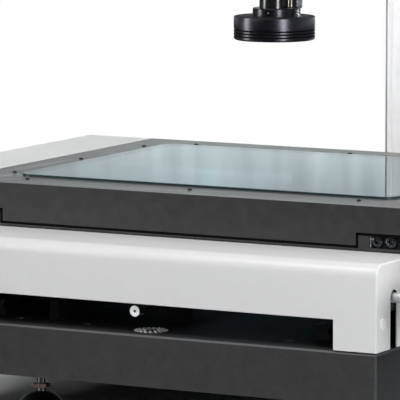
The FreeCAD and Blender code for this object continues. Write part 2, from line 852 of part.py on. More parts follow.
def make_cover():
    body = new_body("carriage_cover")
    profile = sketch(body, "YZ_Plane")
    rectangle(profile, "front", "front + cover_depth", "cover_bottom", "cover_top")
    shell = feature(body, "Pad", profile, "granite_width", Midplane=True)
    top = size("cover_top")
    width = size("granite_width")
    rounded = dress(body, "Fillet", shell,
                    lambda e: level_at(e, top) and e.BoundBox.XLength > width / 2,
                    "cover_round")
    soft = dress(body, "Fillet", rounded, lambda e: side_edge(e, width / 2), "cover_edge")
    hollow = sketch(body, "YZ_Plane")
    inner_top = "cover_top - cover_wall"
    outline(hollow, [
        ("front + cover_wall", "cover_bottom"),
        ("front + cover_depth - cover_wall", "cover_bottom"),
        ("front + cover_depth - cover_wall", "cover_top - cover_round"),
        ("front + cover_depth - cover_round", inner_top),
        ("front + cover_round", inner_top),
        ("front + cover_wall", "cover_top - cover_round"),
    ])
    pocket(body, hollow, "granite_width - 2 * cover_wall", Midplane=True)
    mouth = sketch(body, "XZ_Plane", "-front")
    rectangle(mouth, "-(half_granite - cover_leg)", "half_granite - cover_leg",
              "cover_bottom", "granite_top + cutout_height")
    pocket(body, mouth, "cover_wall * 2", Reversed=False)
    rear = sketch(body, "XZ_Plane", "-(front + cover_depth - cover_wall * 2)")
    rectangle(rear, "-(half_granite - cover_wall)", "half_granite - cover_wall",
              "cover_bottom", "granite_top + cutout_height")
    pocket(body, rear, "cover_wall * 3", Reversed=False)
    window = sketch(body, "XY_Plane", "cover_top")
    rectangle(window, "-casting_opening / 2", "casting_opening / 2",
              "x_rod_y - roller_width / 2 - window_gap", "front + x_rail_rear + block_width / 2")
    pocket(body, window, "cover_wall")
    slot = sketch(body, "YZ_Plane", "half_granite")
    rectangle(slot, "shaft_y - slot_width / 2", "shaft_y + slot_width / 2",
              "cover_bottom", "shaft_z")
    pocket(body, slot, "cover_wall * 2")
    arch = sketch(body, "YZ_Plane", "half_granite")
    circle(arch, "shaft_y", "shaft_z", "slot_width / 2")
    pocket(body, arch, "cover_wall * 2")
    front_slot = sketch(body, "XZ_Plane", "-front")
    rectangle(front_slot, "-x_wheel_offset - slot_width / 2", "-x_wheel_offset + slot_width / 2",
              "cover_bottom", "shaft_z")
    pocket(body, front_slot, "cover_wall * 2")
    front_arch = sketch(body, "XZ_Plane", "-front")
    circle(front_arch, "-x_wheel_offset", "shaft_z", "slot_width / 2")
    pocket(body, front_arch, "cover_wall * 2")

    plugs = []
    for side in (1, -1):
        for y in ("front + plug_setback", "front + cover_depth - plug_setback"):
            x = "half_granite" if side > 0 else "-half_granite - plug_proud"
            plugs.append(cylinder("plug", "plug_diameter / 2", "plug_proud", x, y,
                                  "granite_top + plug_rise", "x"))
    node(group("plugs", plugs), "cover_plugs")


def side_edge(edge, half):
    """An edge that lies in one of the cover's two side faces."""
    box = edge.BoundBox
    at_side = abs(abs(box.XMin) - half) < tolerance and box.XLength < tolerance
    return at_side and box.ZMax > size("shaft_z")


# The X stage: frame, strip, glass, screws, end covers, rails and rod
def screw_places():
    """The twelve frame screws: three down each side and three along the front and rear."""
    found = []
    for side in ("-1", "1"):
        for step in ("-1", "0", "1"):
            found.append((side + " * screw_side_offset",
                          "stage_y + " + step + " * screw_side_pitch"))
    for step in ("-1", "0", "1"):
        found.append((step + " * screw_row_pitch", "stage_front + screw_row_front"))
        found.append((step + " * screw_row_pitch", "stage_back - screw_row_rear"))
    return found


def make_frame():
    body = new_body("stage_frame")
    half = "stage_width / 2"
    plate = sketch(body, "XY_Plane", "plate_z")
    rectangle(plate, "-" + half, half, "stage_front", "stage_back")
    feature(body, "Pad", plate, "plate_thickness")
    apron = sketch(body, "XY_Plane", "apron_z")
    rectangle(apron, "-" + half, half, "stage_front", "stage_front + apron_wall")
    rectangle(apron, "-" + half, half, "stage_back - apron_wall", "stage_back")
    feature(body, "Pad", apron, "apron_height - plate_thickness")
    notch = sketch(body, "XZ_Plane", "-stage_front")
    rectangle(notch, "-" + half, "-" + half + " + notch_left", "apron_z", "apron_z + notch_height")
    rectangle(notch, half + " - notch_right", half, "apron_z", "apron_z + notch_height")
    pocket(body, notch, "apron_wall")
    recess = sketch(body, "XY_Plane", "stage_z")
    rectangle(recess, "-(glass_width / 2 + glass_gap)", "glass_width / 2 + glass_gap",
              "stage_y - glass_depth / 2 - glass_gap", "stage_y + glass_depth / 2 + glass_gap")
    sunk = pocket(body, recess, "glass_thickness - glass_proud")
    half_glass = size("glass_width") / 2 + size("glass_gap")
    rounded = dress(body, "Fillet", sunk,
                    lambda e: upright(e) and abs(abs(e.BoundBox.XMin) - half_glass) < tolerance,
                    "glass_round + glass_gap")
    window = sketch(body, "XY_Plane", "stage_z")
    rectangle(window, "-half_window_x", "half_window_x", "stage_y - half_window_y",
              "stage_y + half_window_y")
    pocket(body, window, "plate_thickness")
    holes = sketch(body, "XY_Plane", "stage_z")
    for x, y in screw_places():
        circle(holes, x, y, "screw_head_diameter / 2")
    pocket(body, holes, "plate_thickness / 3")

    screws = []
    for x, y in screw_places():
        head = cylinder("screw_head", "screw_head_diameter / 2",
                        "plate_thickness / 3 - screw_sunk", x, y,
                        "stage_z - plate_thickness / 3")
        socket = doc.addObject("Part::Prism", "screw_socket")
        socket.Polygon = 6
        bind(socket, Circumradius="screw_shank_diameter / 2", Height="plate_thickness / 3")
        place(socket, x, y, "stage_z - plate_thickness / 6")
        screws.append(cut("frame_screw", head, [socket]))
    node(group("frame_screws_group", screws), "frame_screws")


def make_glass():
    body = new_body("stage_glass")
    drawn = sketch(body, "XY_Plane", "glass_z")
    rectangle(drawn, "-glass_width / 2", "glass_width / 2", "stage_y - glass_depth / 2",
              "stage_y + glass_depth / 2")
    plate = feature(body, "Pad", drawn, "glass_thickness")
    rounded = dress(body, "Fillet", plate, upright, "glass_round")
    high = size("glass_z") + size("glass_thickness")
    dress(body, "Chamfer", rounded, lambda e: level_at(e, high), "glass_gap")


def make_stage_trim():
    """The thin strips under the aprons, with an ear in each front notch."""
    half = "stage_width / 2"
    strip = block("front_strip", "stage_width", "strip_depth", "strip_height", "-" + half,
                  "stage_front", "strip_z")
    ears = []
    for x in ("-" + half + " + notch_left - ear_width - ear_gap",
              half + " - notch_right + ear_gap"):
        ears.append(block("strip_ear", "ear_width", "strip_depth / 2",
                          "apron_z + notch_height - strip_z - ear_gap", x, "stage_front",
                          "strip_z"))
    node(fuse("front_strip_fuse", [strip] + ears), "stage_front_strip")
    blocks = []
    screws = []
    for side in ("-1", "1"):
        notch = "notch_right" if side == "1" else "notch_left"
        inner = "(" + half + " - " + notch + " + ear_gap)"
        deep = "(" + inner + " + ear_width)"
        at_y = "stage_front + strip_depth / 2"
        low = "strip_z + strip_height"
        lower = block("rod_block_low", half + " - " + inner, "apron_wall - strip_depth / 2",
                      "apron_z + notch_height - ear_lip - (" + low + ")",
                      inner if side == "1" else "-" + half, at_y, low)
        upper = block("rod_block_high", half + " - " + deep,
                      "rod_block_depth - apron_wall + strip_depth / 2",
                      "plate_z - (" + low + ")", deep if side == "1" else "-" + half,
                      "stage_front + apron_wall", low)
        body = fuse("rod_block", [lower, upper])
        bore = cylinder("rod_block_bore", "x_rod_diameter / 2", "stage_width", "-" + half,
                        "x_rod_y", "x_rod_z", "x")
        heads = []
        for step in ("0", "1"):
            x = side + " * (" + deep + " + cap_screw_diameter / 2 + roller_clearance + "
            x = x + step + " * cap_screw_pitch)"
            z = "apron_z + notch_height / 2 - cap_screw_drop"
            heads.append(cylinder("cap_bore", "cap_screw_diameter / 2", "cap_screw_seat", x,
                                  at_y, z, "y"))
            head = cylinder("cap_head", "cap_screw_diameter / 2 - screw_sunk",
                            "cap_screw_seat + cap_screw_proud", x,
                            at_y + " - cap_screw_proud", z, "y")
            socket = doc.addObject("Part::Prism", "cap_socket")
            socket.Polygon = 6
            socket.Placement.Rotation = TURNS["y"]
            bind(socket, Circumradius="cap_screw_diameter / 4", Height="cap_socket_depth")
            place(socket, x, at_y + " - cap_screw_proud", z)
            screws.append(cut("cap_screw", head, [socket]))
        blocks.append(cut("rod_block_cut", body, [bore] + heads))
    node(group("rod_blocks", blocks), "x_rod_blocks")
    node(group("cap_screws", screws), "rod_block_screws")
    node(cylinder("x_rod", "x_rod_diameter / 2", "stage_width", "-" + half, "x_rod_y",
                  "x_rod_z", "x"), "x_drive_rod")
    rails = []
    for rail in ("x_rail_front", "x_rail_rear"):
        rails.append(x_rail(rail))
    node(group("x_rails_group", rails), "x_rails")


def x_rail(rail):
    """A rail that hangs under the frame's plate, with its two grooves."""
    y = "front + " + rail
    body = block("x_rail", "x_rail_length", "rail_width", "rail_height", "-x_rail_length / 2",
                 y + " - rail_width / 2", "plate_z - rail_height")
    grooves = []
    for side in ("-1", "1"):
        middle = y + " + " + side + " * (rail_width / 2)"
        grooves.append(block("x_rail_groove", "x_rail_length", "2 * rail_groove",
                             "rail_height / 4", "-x_rail_length / 2",
                             middle + " - rail_groove", "plate_z - rail_height * 0.8"))
    return cut("x_rail_cut", body, grooves)


def end_cover(label, side):
    """A pale sheet cover over the rails' ends, flush with the frame's top."""
    x = "stage_width / 2" if side > 0 else "-(stage_width / 2 + end_cover_width)"
    outer = block(label + "_outer", "end_cover_width", "stage_depth", "apron_height", x,
                  "stage_front", "apron_z")
    doc.recompute()
    rounded = doc.addObject("Part::Fillet", label + "_round")
    rounded.Base = outer
    edges = []
    outside = side * (size("stage_width") / 2 + size("end_cover_width"))
    for i, edge in enumerate(outer.Shape.Edges):
        box = edge.BoundBox
        at_end = abs(box.XMin - outside) < tolerance and box.XLength < tolerance
        if at_end and box.ZMax > size("plate_z"):
            edges.append((i + 1, size("stage_round"), size("stage_round")))
    rounded.Edges = edges
    inner_x = x if side > 0 else x + " + end_cover_wall"
    inner = block(label + "_inner", "end_cover_width - end_cover_wall",
                  "stage_depth - 2 * end_cover_wall", "apron_height - end_cover_wall", inner_x,
                  "stage_front + end_cover_wall", "apron_z")
    node(cut(label + "_cut", rounded, [inner]), label)


# Handwheels
def hand_wheel(label, diameter, axis, x, y, z):
    """A turned wheel with a dished face, a hub and finger flutes round the rim."""
    body = new_body(label)
    drawn = sketch(body, "XZ_Plane")
    rim = diameter + " / 2"
    bore = "shaft_diameter / 2"
    hub = "(shaft_diameter / 2 + wheel_bore_wall)"
    outline(drawn, [
        (bore, "0"),
        (hub, "0"),
        (hub, "wheel_width * 0.3"),
        (rim + " - wheel_rim", "wheel_width * 0.3"),
        (rim + " - wheel_rim", "wheel_width * 0.16"),
        (rim + " - wheel_edge", "wheel_width * 0.16"),
        (rim, "wheel_width * 0.24"),
        (rim, "wheel_width - wheel_edge"),
        (rim + " - wheel_edge", "wheel_width"),
        (rim + " - wheel_rim - wheel_edge", "wheel_width"),
        (rim + " - 2 * wheel_rim", "wheel_width * 0.82"),
        (hub, "wheel_width * 0.82"),
        (hub + " - wheel_edge / 2", "wheel_width * 0.95"),
        (bore, "wheel_width * 0.95"),
    ])
    turned = feature(body, "Revolution", drawn)
    turned.ReferenceAxis = (drawn, ["V_Axis"])
    turned.Angle = 360
    flute = sketch(body, "XY_Plane")
    circle(flute, rim + " + flute_diameter * 0.28", "0", "flute_diameter / 2")
    grooved = pocket(body, flute, "wheel_width", Reversed=True)
    pattern = body.newObject("PartDesign::PolarPattern", label + "_flutes")
    pattern.Originals = [grooved]
    pattern.Axis = (origin_feature(body, "Z_Axis"), [""])
    pattern.Angle = 360
    bind(pattern, Occurrences="flute_count")
    body.Tip = pattern
    body.Placement.Rotation = TURNS[axis] if axis == "x" else FreeCAD.Rotation(Vector(1, 0, 0), 90)
    place(body, x, y, z)


# The column, its flange, cap, rear panel, rails and rack
def make_column():
    body = new_body("column_body")
    half = "column_width / 2"
    drawn = sketch(body, "XY_Plane", "granite_top + flange_height")
    rectangle(drawn, "-" + half, half, "column_front", "column_back")
    post = feature(body, "Pad", drawn, "column_top - flange_height")
    rounded = dress(body, "Fillet", post, upright, "column_round")
    bore = sketch(body, "XY_Plane", "granite_top + column_top")
    rectangle(bore, "-" + half + " + column_wall", half + " - column_wall",
              "column_front + column_wall", "column_back - column_wall")
    pocket(body, bore, "column_top - flange_height")
    panel = sketch(body, "XZ_Plane", "-(column_back - column_wall)")
    rectangle(panel, "-panel_width / 2 + panel_border", "panel_width / 2 - panel_border",
              "granite_top + panel_bottom + panel_border",
              "granite_top + panel_bottom + panel_height - panel_border")
    pocket(body, panel, "column_wall")

    reach = "column_width + 2 * flange_border"
    flange = block("flange_plate", reach, "column_depth + flange_border", "flange_height",
                   "-(" + reach + ") / 2", "column_front - flange_border", "granite_top")
    screws = []
    wells = []
    for side in ("-1", "1"):
        for y in ("column_front + flange_screw_inset", "column_back - flange_screw_inset"):
            x = side + " * (column_width / 2 + flange_border / 2)"
            wells.append(cylinder("flange_well", "flange_screw_diameter / 2 + screw_sunk",
                                  "flange_height / 2", x, y,
                                  "granite_top + flange_height / 2"))
            screws.append(cylinder("flange_screw", "flange_screw_diameter / 2",
                                   "flange_height / 2 - screw_sunk", x, y,
                                   "granite_top + flange_height / 2"))
    node(cut("flange_cut", flange, wells), "column_flange")
    node(group("flange_screws", screws), "column_screws")

    cap = block("cap_plate", "column_width", "column_depth", "column_cap", "-" + half,
                "column_front", "granite_top + column_top")
    doc.recompute()
    soft = doc.addObject("Part::Fillet", "cap_round")
    soft.Base = cap
    soft.Edges = [(i + 1, size("column_round"), size("column_round"))
                  for i, edge in enumerate(cap.Shape.Edges) if upright(edge)]
    node(soft, "column_cap")
    rails = []
    for side in ("-1", "1"):
        x = side + " * z_rail_offset"
        body = block("z_rail", "rail_width", "rail_height", "z_rail_length",
                     x + " - rail_width / 2", "column_front - rail_height",
                     "granite_top + z_rail_start")
        grooves = []
        for edge in ("-1", "1"):
            middle = x + " + " + edge + " * rail_width / 2"
            grooves.append(block("z_rail_groove", "2 * rail_groove", "rail_height / 4",
                                 "z_rail_length", middle + " - rail_groove",
                                 "column_front - rail_height * 0.8",
                                 "granite_top + z_rail_start"))
        rails.append(cut("z_rail_cut", body, grooves))
    node(group("z_rails_group", rails), "z_rails")
    make_rear_panel()


def make_rear_panel():
    plate = block("panel_plate", "panel_width", "panel_thickness", "panel_height",
                  "-panel_width / 2", "column_back", "granite_top + panel_bottom")
    middle = "granite_top + panel_bottom + panel_height / 2"
    inlet_x = "-panel_width / 4"
    switch_x = "panel_width / 4"
    hole = block("inlet_hole", "inlet_width", "panel_thickness", "inlet_height",
                 inlet_x + " - inlet_width / 2", "column_back", middle + " - inlet_height / 2")
    window = block("switch_window", "switch_width", "panel_thickness", "switch_height",
                   switch_x + " - switch_width / 2", "column_back",
                   middle + " - switch_height / 2")
    node(cut("panel_cut", plate, [hole, window]), "rear_panel")
    shell = block("inlet_shell", "inlet_width", "inlet_depth + inlet_lip", "inlet_height",
                  inlet_x + " - inlet_width / 2", "column_back - inlet_depth",
                  middle + " - inlet_height / 2")
    floor = "column_back - inlet_depth + inlet_floor"
    well = block("inlet_well", "inlet_width - 2 * inlet_wall",
                 "inlet_depth + inlet_lip - inlet_floor", "inlet_height - 2 * inlet_wall",
                 inlet_x + " - inlet_width / 2 + inlet_wall", floor,
                 middle + " - inlet_height / 2 + inlet_wall")
    body = cut("inlet_body", shell, [well])
    pins = []
    for step, lift in (("-1", "-1"), ("0", "0"), ("1", "-1")):
        pins.append(block("inlet_pin", "pin_width", "pin_length", "pin_height",
                          inlet_x + " + " + step + " * pin_pitch - pin_width / 2", floor,
                          middle + " + " + lift + " * pin_height"))
    node(fuse("inlet_fuse", [body] + pins), "power_inlet")
    rocker = cylinder("rocker", "switch_height / 2 - rocker_gap",
                      "switch_width - 2 * rocker_gap",
                      switch_x + " - switch_width / 2 + rocker_gap",
                      "column_back - rocker_sunk", middle, "x")
    face = block("rocker_face", "switch_width", "switch_height", "switch_height",
                 switch_x + " - switch_width / 2",
                 "column_back + panel_thickness + rocker_proud",
                 middle + " - switch_height / 2")
    node(cut("rocker_cut", rocker, [face]), "power_switch_rocker")


def flank_point(base, angle, turn, lag, side):
    """A point of a tooth's involute flank, before (-1) or after (1) the tooth's middle."""
    radius = base * math.hypot(1, angle)
    polar = turn + side * (lag - angle + math.atan(angle))
    return Vector(radius * math.cos(polar), radius * math.sin(polar), 0)


def pinion_shape():
    """A spur pinion with involute flanks, one tooth centred on the local X axis."""
    module = size("tooth_module")
    teeth = int(size("pinion_teeth"))
    pressure = math.radians(size("pressure_angle"))
    pitch = size("pinion_radius")
    base = pitch * math.cos(pressure)
    tip = pitch + module * size("addendum_ratio")
    root = pitch - module * size("dedendum_ratio")
    half_tooth = math.pi / teeth / 2 - size("gear_backlash") / 2 / pitch
    lag = half_tooth + math.tan(pressure) - pressure
    angles = [math.sqrt(max((radius / base) ** 2 - 1, 0))
              for radius in (base, (base + tip) / 2, tip)]
    edges = []
    for step in range(teeth):
        turn = 2 * math.pi * step / teeth
        following = 2 * math.pi * (step + 1) / teeth
        before = [flank_point(base, angle, turn, lag, -1) for angle in angles]
        after = [flank_point(base, angle, turn, lag, 1) for angle in angles]
        foot = before[0] * (root / base)
        heel = after[0] * (root / base)
        next_foot = flank_point(root, 0, following, lag, -1)
        edges.append(Part.LineSegment(foot, before[0]).toShape())
        edges.append(Part.Arc(*before).toShape())
        edges.append(Part.LineSegment(before[2], after[2]).toShape())
        edges.append(Part.Arc(after[2], after[1], after[0]).toShape())
        edges.append(Part.LineSegment(after[0], heel).toShape())
        edges.append(Part.LineSegment(heel, next_foot).toShape())
    return Part.Face(Part.Wire(edges)).extrude(Vector(0, 0, size("gear_width")))


def make_rack():
    """The rack on the column: straight flanks, with a gap facing the pinion at rest."""
    module = size("tooth_module")
    pitch = module * math.pi
    line = size("rack_y")
    slope = math.tan(math.radians(size("pressure_angle")))
    tip = size("addendum_ratio") * module
    root = size("dedendum_ratio") * module
    half = pitch / 4 - size("gear_backlash") / 2
    middle = size("slide_z")
    reach = size("z_travel") + size("rack_spare")
    count = int(reach / pitch)
    points = []
    for step in range(-count, count):
        centre = middle + (step + 0.5) * pitch
        root_half = half + slope * root
        tip_half = half - slope * tip
        for along, deep in ((-root_half, root), (-tip_half, -tip), (tip_half, -tip),
                            (root_half, root)):
            points.append(Vector(0, line + deep, centre + along))
    back = size("column_front")
    points.append(Vector(0, back, points[-1].z))
    points.append(Vector(0, back, points[0].z))
    points.append(points[0])
    wide = size("gear_width")
    thing = doc.addObject("Part::Feature", "rack_bar")
    thing.Shape = Part.Face(Part.makePolygon(points)).extrude(Vector(wide, 0, 0))
    thing.Placement = FreeCAD.Placement(Vector(-wide / 2, 0, 0), FreeCAD.Rotation())
    node(thing, "z_rack")


# The Z head: slide plate, pinion shaft, arm, lens, camera and ring light
def make_slide():
    half = "slide_width / 2"
    plate = block("slide_block", "slide_width", "slide_thickness", "slide_height",
                  "-" + half, "slide_front", "slide_z - slide_height / 2")
    bore = cylinder("slide_bore", "z_shaft_diameter / 2 + running_gap", "slide_width", "-" + half,
                    "pinion_y", "slide_z", "x")
    well = block("slide_well", "gear_width + 2 * gear_side_gap", "slide_thickness",
                 "2 * pinion_radius + 4 * tooth_module", "-gear_width / 2 - gear_side_gap",
                 "slide_front",
                 "slide_z - pinion_radius - 2 * tooth_module")
    node(cut("slide_cut", plate, [bore, well]), "z_slide_plate")
    blocks = []
    for side in ("-1", "1"):
        for end in ("-1", "1"):
            blocks.append(channel("z_block", "block_length", side + " * z_rail_offset",
                                  "slide_z + " + end + " * z_block_offset", "0", "z"))
    node(group("z_blocks", blocks), "z_bearing_blocks")

    gear = doc.addObject("Part::Feature", "pinion_gear")
    gear.Shape = pinion_shape()
    turned = FreeCAD.Rotation(Vector(0, 1, 0), Vector(0, 0, 1), Vector(1, 0, 0), "XYZ")
    at = Vector(-size("gear_width") / 2, size("pinion_y"), size("slide_z"))
    gear.Placement = FreeCAD.Placement(at, turned)
    journal = cylinder("z_journal", "z_shaft_diameter / 2",
                       "slide_width / 2 + z_wheel_start - gear_side_gap", "-slide_width / 2",
                       "pinion_y", "slide_z", "x")
    nose = cylinder("z_shaft_nose", "shaft_diameter / 2",
                    "z_wheel_start + wheel_width - shaft_recess", "0", "pinion_y", "slide_z", "x")
    node(fuse("pinion_shaft_fuse", [gear, journal, nose]), "z_pinion_shaft")


def make_arm():
    """The arm: a tapered casting with hollowed sides and a split nose, bored for the lens."""
    body = new_body("z_arm")
    low = "slide_z - arm_root_height / 2"
    high = "slide_z + arm_root_height / 2"
    nose_top = "arm_z + arm_nose_height"
    neck = "lens_y + arm_nose_radius + arm_neck"
    drawn = sketch(body, "YZ_Plane")
    outline(drawn, [
        ("slide_front", low),
        ("slide_front", high),
        ("slide_front - arm_shoulder", high),
        (neck, nose_top),
        ("lens_y", nose_top),
        ("lens_y", "arm_z"),
        (neck, "arm_z"),
        ("slide_front - arm_shoulder", low),
    ])
    feature(body, "Pad", drawn, "arm_width", Midplane=True)
    for side in ("1", "-1"):
        panel = sketch(body, "YZ_Plane", side + " * arm_width / 2")
        outline(panel, [
            ("slide_front - arm_border", low + " + arm_border"),
            ("slide_front - arm_border", high + " - arm_border"),
            ("slide_front - arm_shoulder + arm_border / 4", high + " - arm_border"),
            (neck + " + arm_border / 4", nose_top + " - arm_border"),
            (neck + " - arm_neck + arm_border", nose_top + " - arm_border"),
            (neck + " - arm_neck + arm_border", "arm_z + arm_border"),
            (neck + " + arm_border / 4", "arm_z + arm_border"),
            ("slide_front - arm_shoulder + arm_border / 4", low + " + arm_border"),
        ])
        pocket(body, panel, "arm_recess", Reversed=side == "-1")
    well = sketch(body, "YZ_Plane")
    gear = "(pinion_radius + 2 * tooth_module)"
    rectangle(well, "pinion_y - " + gear, "slide_front", "slide_z - " + gear, "slide_z + " + gear)
    pocket(body, well, "gear_width + 2 * gear_side_gap", Midplane=True)
    nose = sketch(body, "XY_Plane", "arm_z")
    circle(nose, "0", "lens_y", "arm_nose_radius")
    feature(body, "Pad", nose, "arm_nose_height")
    bore = sketch(body, "XY_Plane", nose_top)
    circle(bore, "0", "lens_y", "lens_body_diameter / 2")
    pocket(body, bore, "arm_nose_height")
    slit = sketch(body, "XY_Plane", nose_top)
    rectangle(slit, "-arm_slit / 2", "arm_slit / 2", "lens_y - 2 * arm_nose_radius", "lens_y")
    pocket(body, slit, "arm_nose_height")


def turned_body(label, points):
    """A turned piece on the lens axis, from its half outline as radius and height."""
    body = new_body(label)
    drawn = sketch(body, "XZ_Plane", "-lens_y")
    outline(drawn, points)
    made = feature(body, "Revolution", drawn)
    made.ReferenceAxis = (drawn, ["V_Axis"])
    made.Angle = 360
    return body


def make_head():
    rim = "ring_diameter / 2"
    bore = "ring_bore / 2"
    nose = "nose_diameter / 2"
    roof = "ring_top - ring_roof"
    steps = [(bore, "ring_z + ring_lip"), (bore + " + ring_lip", "ring_z"),
             (rim + " - ring_chamfer", "ring_z"), (rim, "ring_z + ring_chamfer")]
    for step in ("0", "1", "2"):
        rise = "ring_z + groove_start + " + step + " * groove_pitch"
        steps.append((rim, rise))
        steps.append((rim + " - ring_groove", rise + " + groove_slope"))
        steps.append((rim + " - ring_groove", rise + " + groove_width - groove_slope"))
        steps.append((rim, rise + " + groove_width"))
    steps.append((rim, "ring_top - ring_edge"))
    steps.append((rim + " - ring_edge", "ring_top"))
    steps.append((nose, "ring_top"))
    steps.append((nose, roof))
    steps.append((bore, roof))
    turned_body("ring_light_housing", steps)
    collar_rim = "collar_diameter / 2"
    body = turned_body("ring_light_collar", [
        (nose, "ring_top"),
        (collar_rim, "ring_top"),
        (collar_rim, "collar_top - ring_edge"),
        (collar_rim + " - ring_edge", "collar_top"),
        (nose, "collar_top"),
    ])
    set_hole = sketch(body, "XZ_Plane", "-(lens_y - collar_diameter / 2)")
    circle(set_hole, "0", "ring_top + collar_height / 2", "set_screw_diameter / 2")
    pocket(body, set_hole, "set_screw_depth")
    turned_body("ring_light_diffuser", [
        (nose + " + diffuser_border", roof + " - diffuser_edge"),
        (bore, "ring_z + ring_lip"),
        (bore, roof),
        (nose + " + diffuser_border", roof),
    ])
    rim = "lens_body_diameter / 2"
    neck = rim + " - zoom_ring_wall"
    zoom_top = "zoom_ring_z + zoom_ring_height"
    turned_body("zoom_lens_barrel", [
        ("0", roof),
        (nose, roof),
        (nose, "lens_body_z - lens_taper"),
        (rim + " - lens_step", "lens_body_z"),
        (rim, "lens_body_z + lens_step"),
        (rim, "zoom_ring_z - zoom_ring_edge"),
        (neck, "zoom_ring_z - zoom_ring_edge"),
        (neck, zoom_top + " + zoom_ring_edge"),
        (rim, zoom_top + " + zoom_ring_edge"),
        (rim, "lens_body_top - lens_crown"),
        (nose + " + lens_step", "lens_body_top"),
        ("0", "lens_body_top"),
    ])
    ring = "zoom_ring_diameter / 2"
    turned_body("zoom_ring", [
        (neck + " + running_gap", "zoom_ring_z"),
        (ring + " - zoom_ring_edge", "zoom_ring_z"),
        (ring, "zoom_ring_z + zoom_ring_edge"),
        (ring, zoom_top + " - zoom_ring_edge"),
        (ring + " - zoom_ring_edge", zoom_top),
        (neck + " + running_gap", zoom_top),
    ])
    case_z = "lens_body_top + camera_mount_height"
    mount = cylinder("camera_mount", "camera_mount_diameter / 2", "camera_mount_height", "0",
                     "lens_y", "lens_body_top")
    case = block("camera_case", "camera_side", "camera_side", "camera_height",
                 "-camera_side / 2", "lens_y - camera_side / 2", case_z)
    socket = cylinder("camera_socket", "camera_socket_diameter / 2", "camera_socket_height", "0",
                      "lens_y", case_z + " + camera_height")
    node(fuse("camera_fuse", [mount, case, socket]), "camera")
    post = cylinder("connector_post", "connector_post / 2", "connector_rise", "connector_offset",
                    "lens_y", "ring_top")
    barrel = cylinder("connector_barrel", "connector_diameter / 2", "connector_length",
                      "connector_offset", "lens_y", "ring_top + connector_rise")
    node(fuse("connector_fuse", [post, barrel]), "ring_light_connector")


def make_contour_light():
    """The light under the glass, on a bridge that stands over the drive rod."""
    wide = "light_diameter"
    left = "-" + wide + " / 2"
    bridge = block("light_bridge", wide, wide, "bridge_height", left, "lens_y - " + wide + " / 2",
                   "granite_top")
    tunnel = block("light_tunnel", "tunnel_width", wide, "tunnel_height", "-tunnel_width / 2",
                   "lens_y - " + wide + " / 2", "granite_top")
    node(cut("light_base", bridge, [tunnel]), "contour_light_base")
    foot = "granite_top + bridge_height"
    seat_z = foot + " + light_tube_height - light_window_sunk"
    tube = cylinder("light_tube", wide + " / 2", "light_tube_height", "0", "lens_y", foot)
    seat = cylinder("light_seat", wide + " / 2 - light_wall", "light_window_sunk", "0", "lens_y",
                    seat_z)
    node(cut("light_tube_cut", tube, [seat]), "contour_light_tube")
    node(cylinder("light_window", wide + " / 2 - light_wall", "light_window_height", "0",
                  "lens_y", seat_z), "contour_light_window")


def make_scales():
    """The optical scale of each axis and the head that reads it."""
    node(block("y_scale_bar", "scale_width", "y_rail_length", "scale_height", "-y_scale_offset",
               "front + y_rail_start", "granite_top"), "y_scale")
    rise = "granite_top + scale_height + read_head_gap"
    node(block("y_head_block", "read_head_width", "casting_bar - 2 * pad_border",
               "casting_z - (" + rise + ")", "-y_scale_offset - read_head_offset + scale_width",
               "front + casting_setback + pad_border", rise), "y_read_head")


make_granite()
make_feet()
y_rail("y_rail_left", "-1")
y_rail("y_rail_right", "1")
make_y_rod()
make_contour_light()
make_scales()
make_carriage()
make_cover()
make_y_drive()
make_x_drive()
make_frame()
make_glass()
make_stage_trim()
end_cover("end_cover_left", -1)
end_cover("end_cover_right", 1)
hand_wheel("y_handwheel", "wheel_diameter", "x", "half_granite + wheel_standoff", "shaft_y",
           "shaft_z")
hand_wheel("x_handwheel", "wheel_diameter", "y", "-x_wheel_offset", "front - wheel_standoff",
           "shaft_z")
hand_wheel("z_handwheel", "z_wheel_diameter", "x", "z_wheel_start", "pinion_y", "slide_z")
make_column()
make_rack()
make_slide()
make_arm()
make_head()

doc.recompute()
for thing in doc.Objects:
    if "Invalid" in thing.State or "Error" in thing.State:
        raise ValueError("%s did not build: %s" % (thing.Name, thing.State))
os.makedirs("parts", exist_ok=True)
for label, thing in nodes.items():
    shape = thing.Shape
    if shape.isNull() or not shape.isValid():
        raise ValueError("the shape of %s is not valid" % label)
    shape.exportStep("parts/" + label + ".step")
print(len(nodes), "nodes written")
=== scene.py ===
import json
import math

import bmesh
import bpy
from mathutils import Matrix, Vector


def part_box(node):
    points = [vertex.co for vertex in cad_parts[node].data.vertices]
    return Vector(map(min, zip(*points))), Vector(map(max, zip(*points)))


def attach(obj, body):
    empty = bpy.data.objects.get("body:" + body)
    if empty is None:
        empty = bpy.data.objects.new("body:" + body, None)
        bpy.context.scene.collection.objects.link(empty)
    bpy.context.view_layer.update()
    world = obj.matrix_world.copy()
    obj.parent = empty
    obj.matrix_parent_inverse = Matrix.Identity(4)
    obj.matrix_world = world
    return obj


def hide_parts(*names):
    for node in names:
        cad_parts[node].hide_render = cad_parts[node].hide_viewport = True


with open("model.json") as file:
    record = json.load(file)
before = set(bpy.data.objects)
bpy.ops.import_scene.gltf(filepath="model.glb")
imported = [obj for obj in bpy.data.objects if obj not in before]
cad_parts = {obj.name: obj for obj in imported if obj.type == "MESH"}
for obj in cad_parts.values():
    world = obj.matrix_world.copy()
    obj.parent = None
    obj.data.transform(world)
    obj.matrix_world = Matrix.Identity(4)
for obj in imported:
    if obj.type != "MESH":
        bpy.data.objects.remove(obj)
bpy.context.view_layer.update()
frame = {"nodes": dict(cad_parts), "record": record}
nodes = frame["nodes"]
record = frame["record"]
slotOf = {part["node"]: part["material_slot"] for part in record["subparts"]}
bodyOf = {name: body for body, names in record["behaviour"]["bodies"].items() for name in names}
mm = 0.001
weld = 0.002 * mm  # corners closer than this are one corner


def boxMm(name):
    # The lowest and the highest corner of a CAD node's box, in mm
    return [Vector(corner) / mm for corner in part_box(name)]


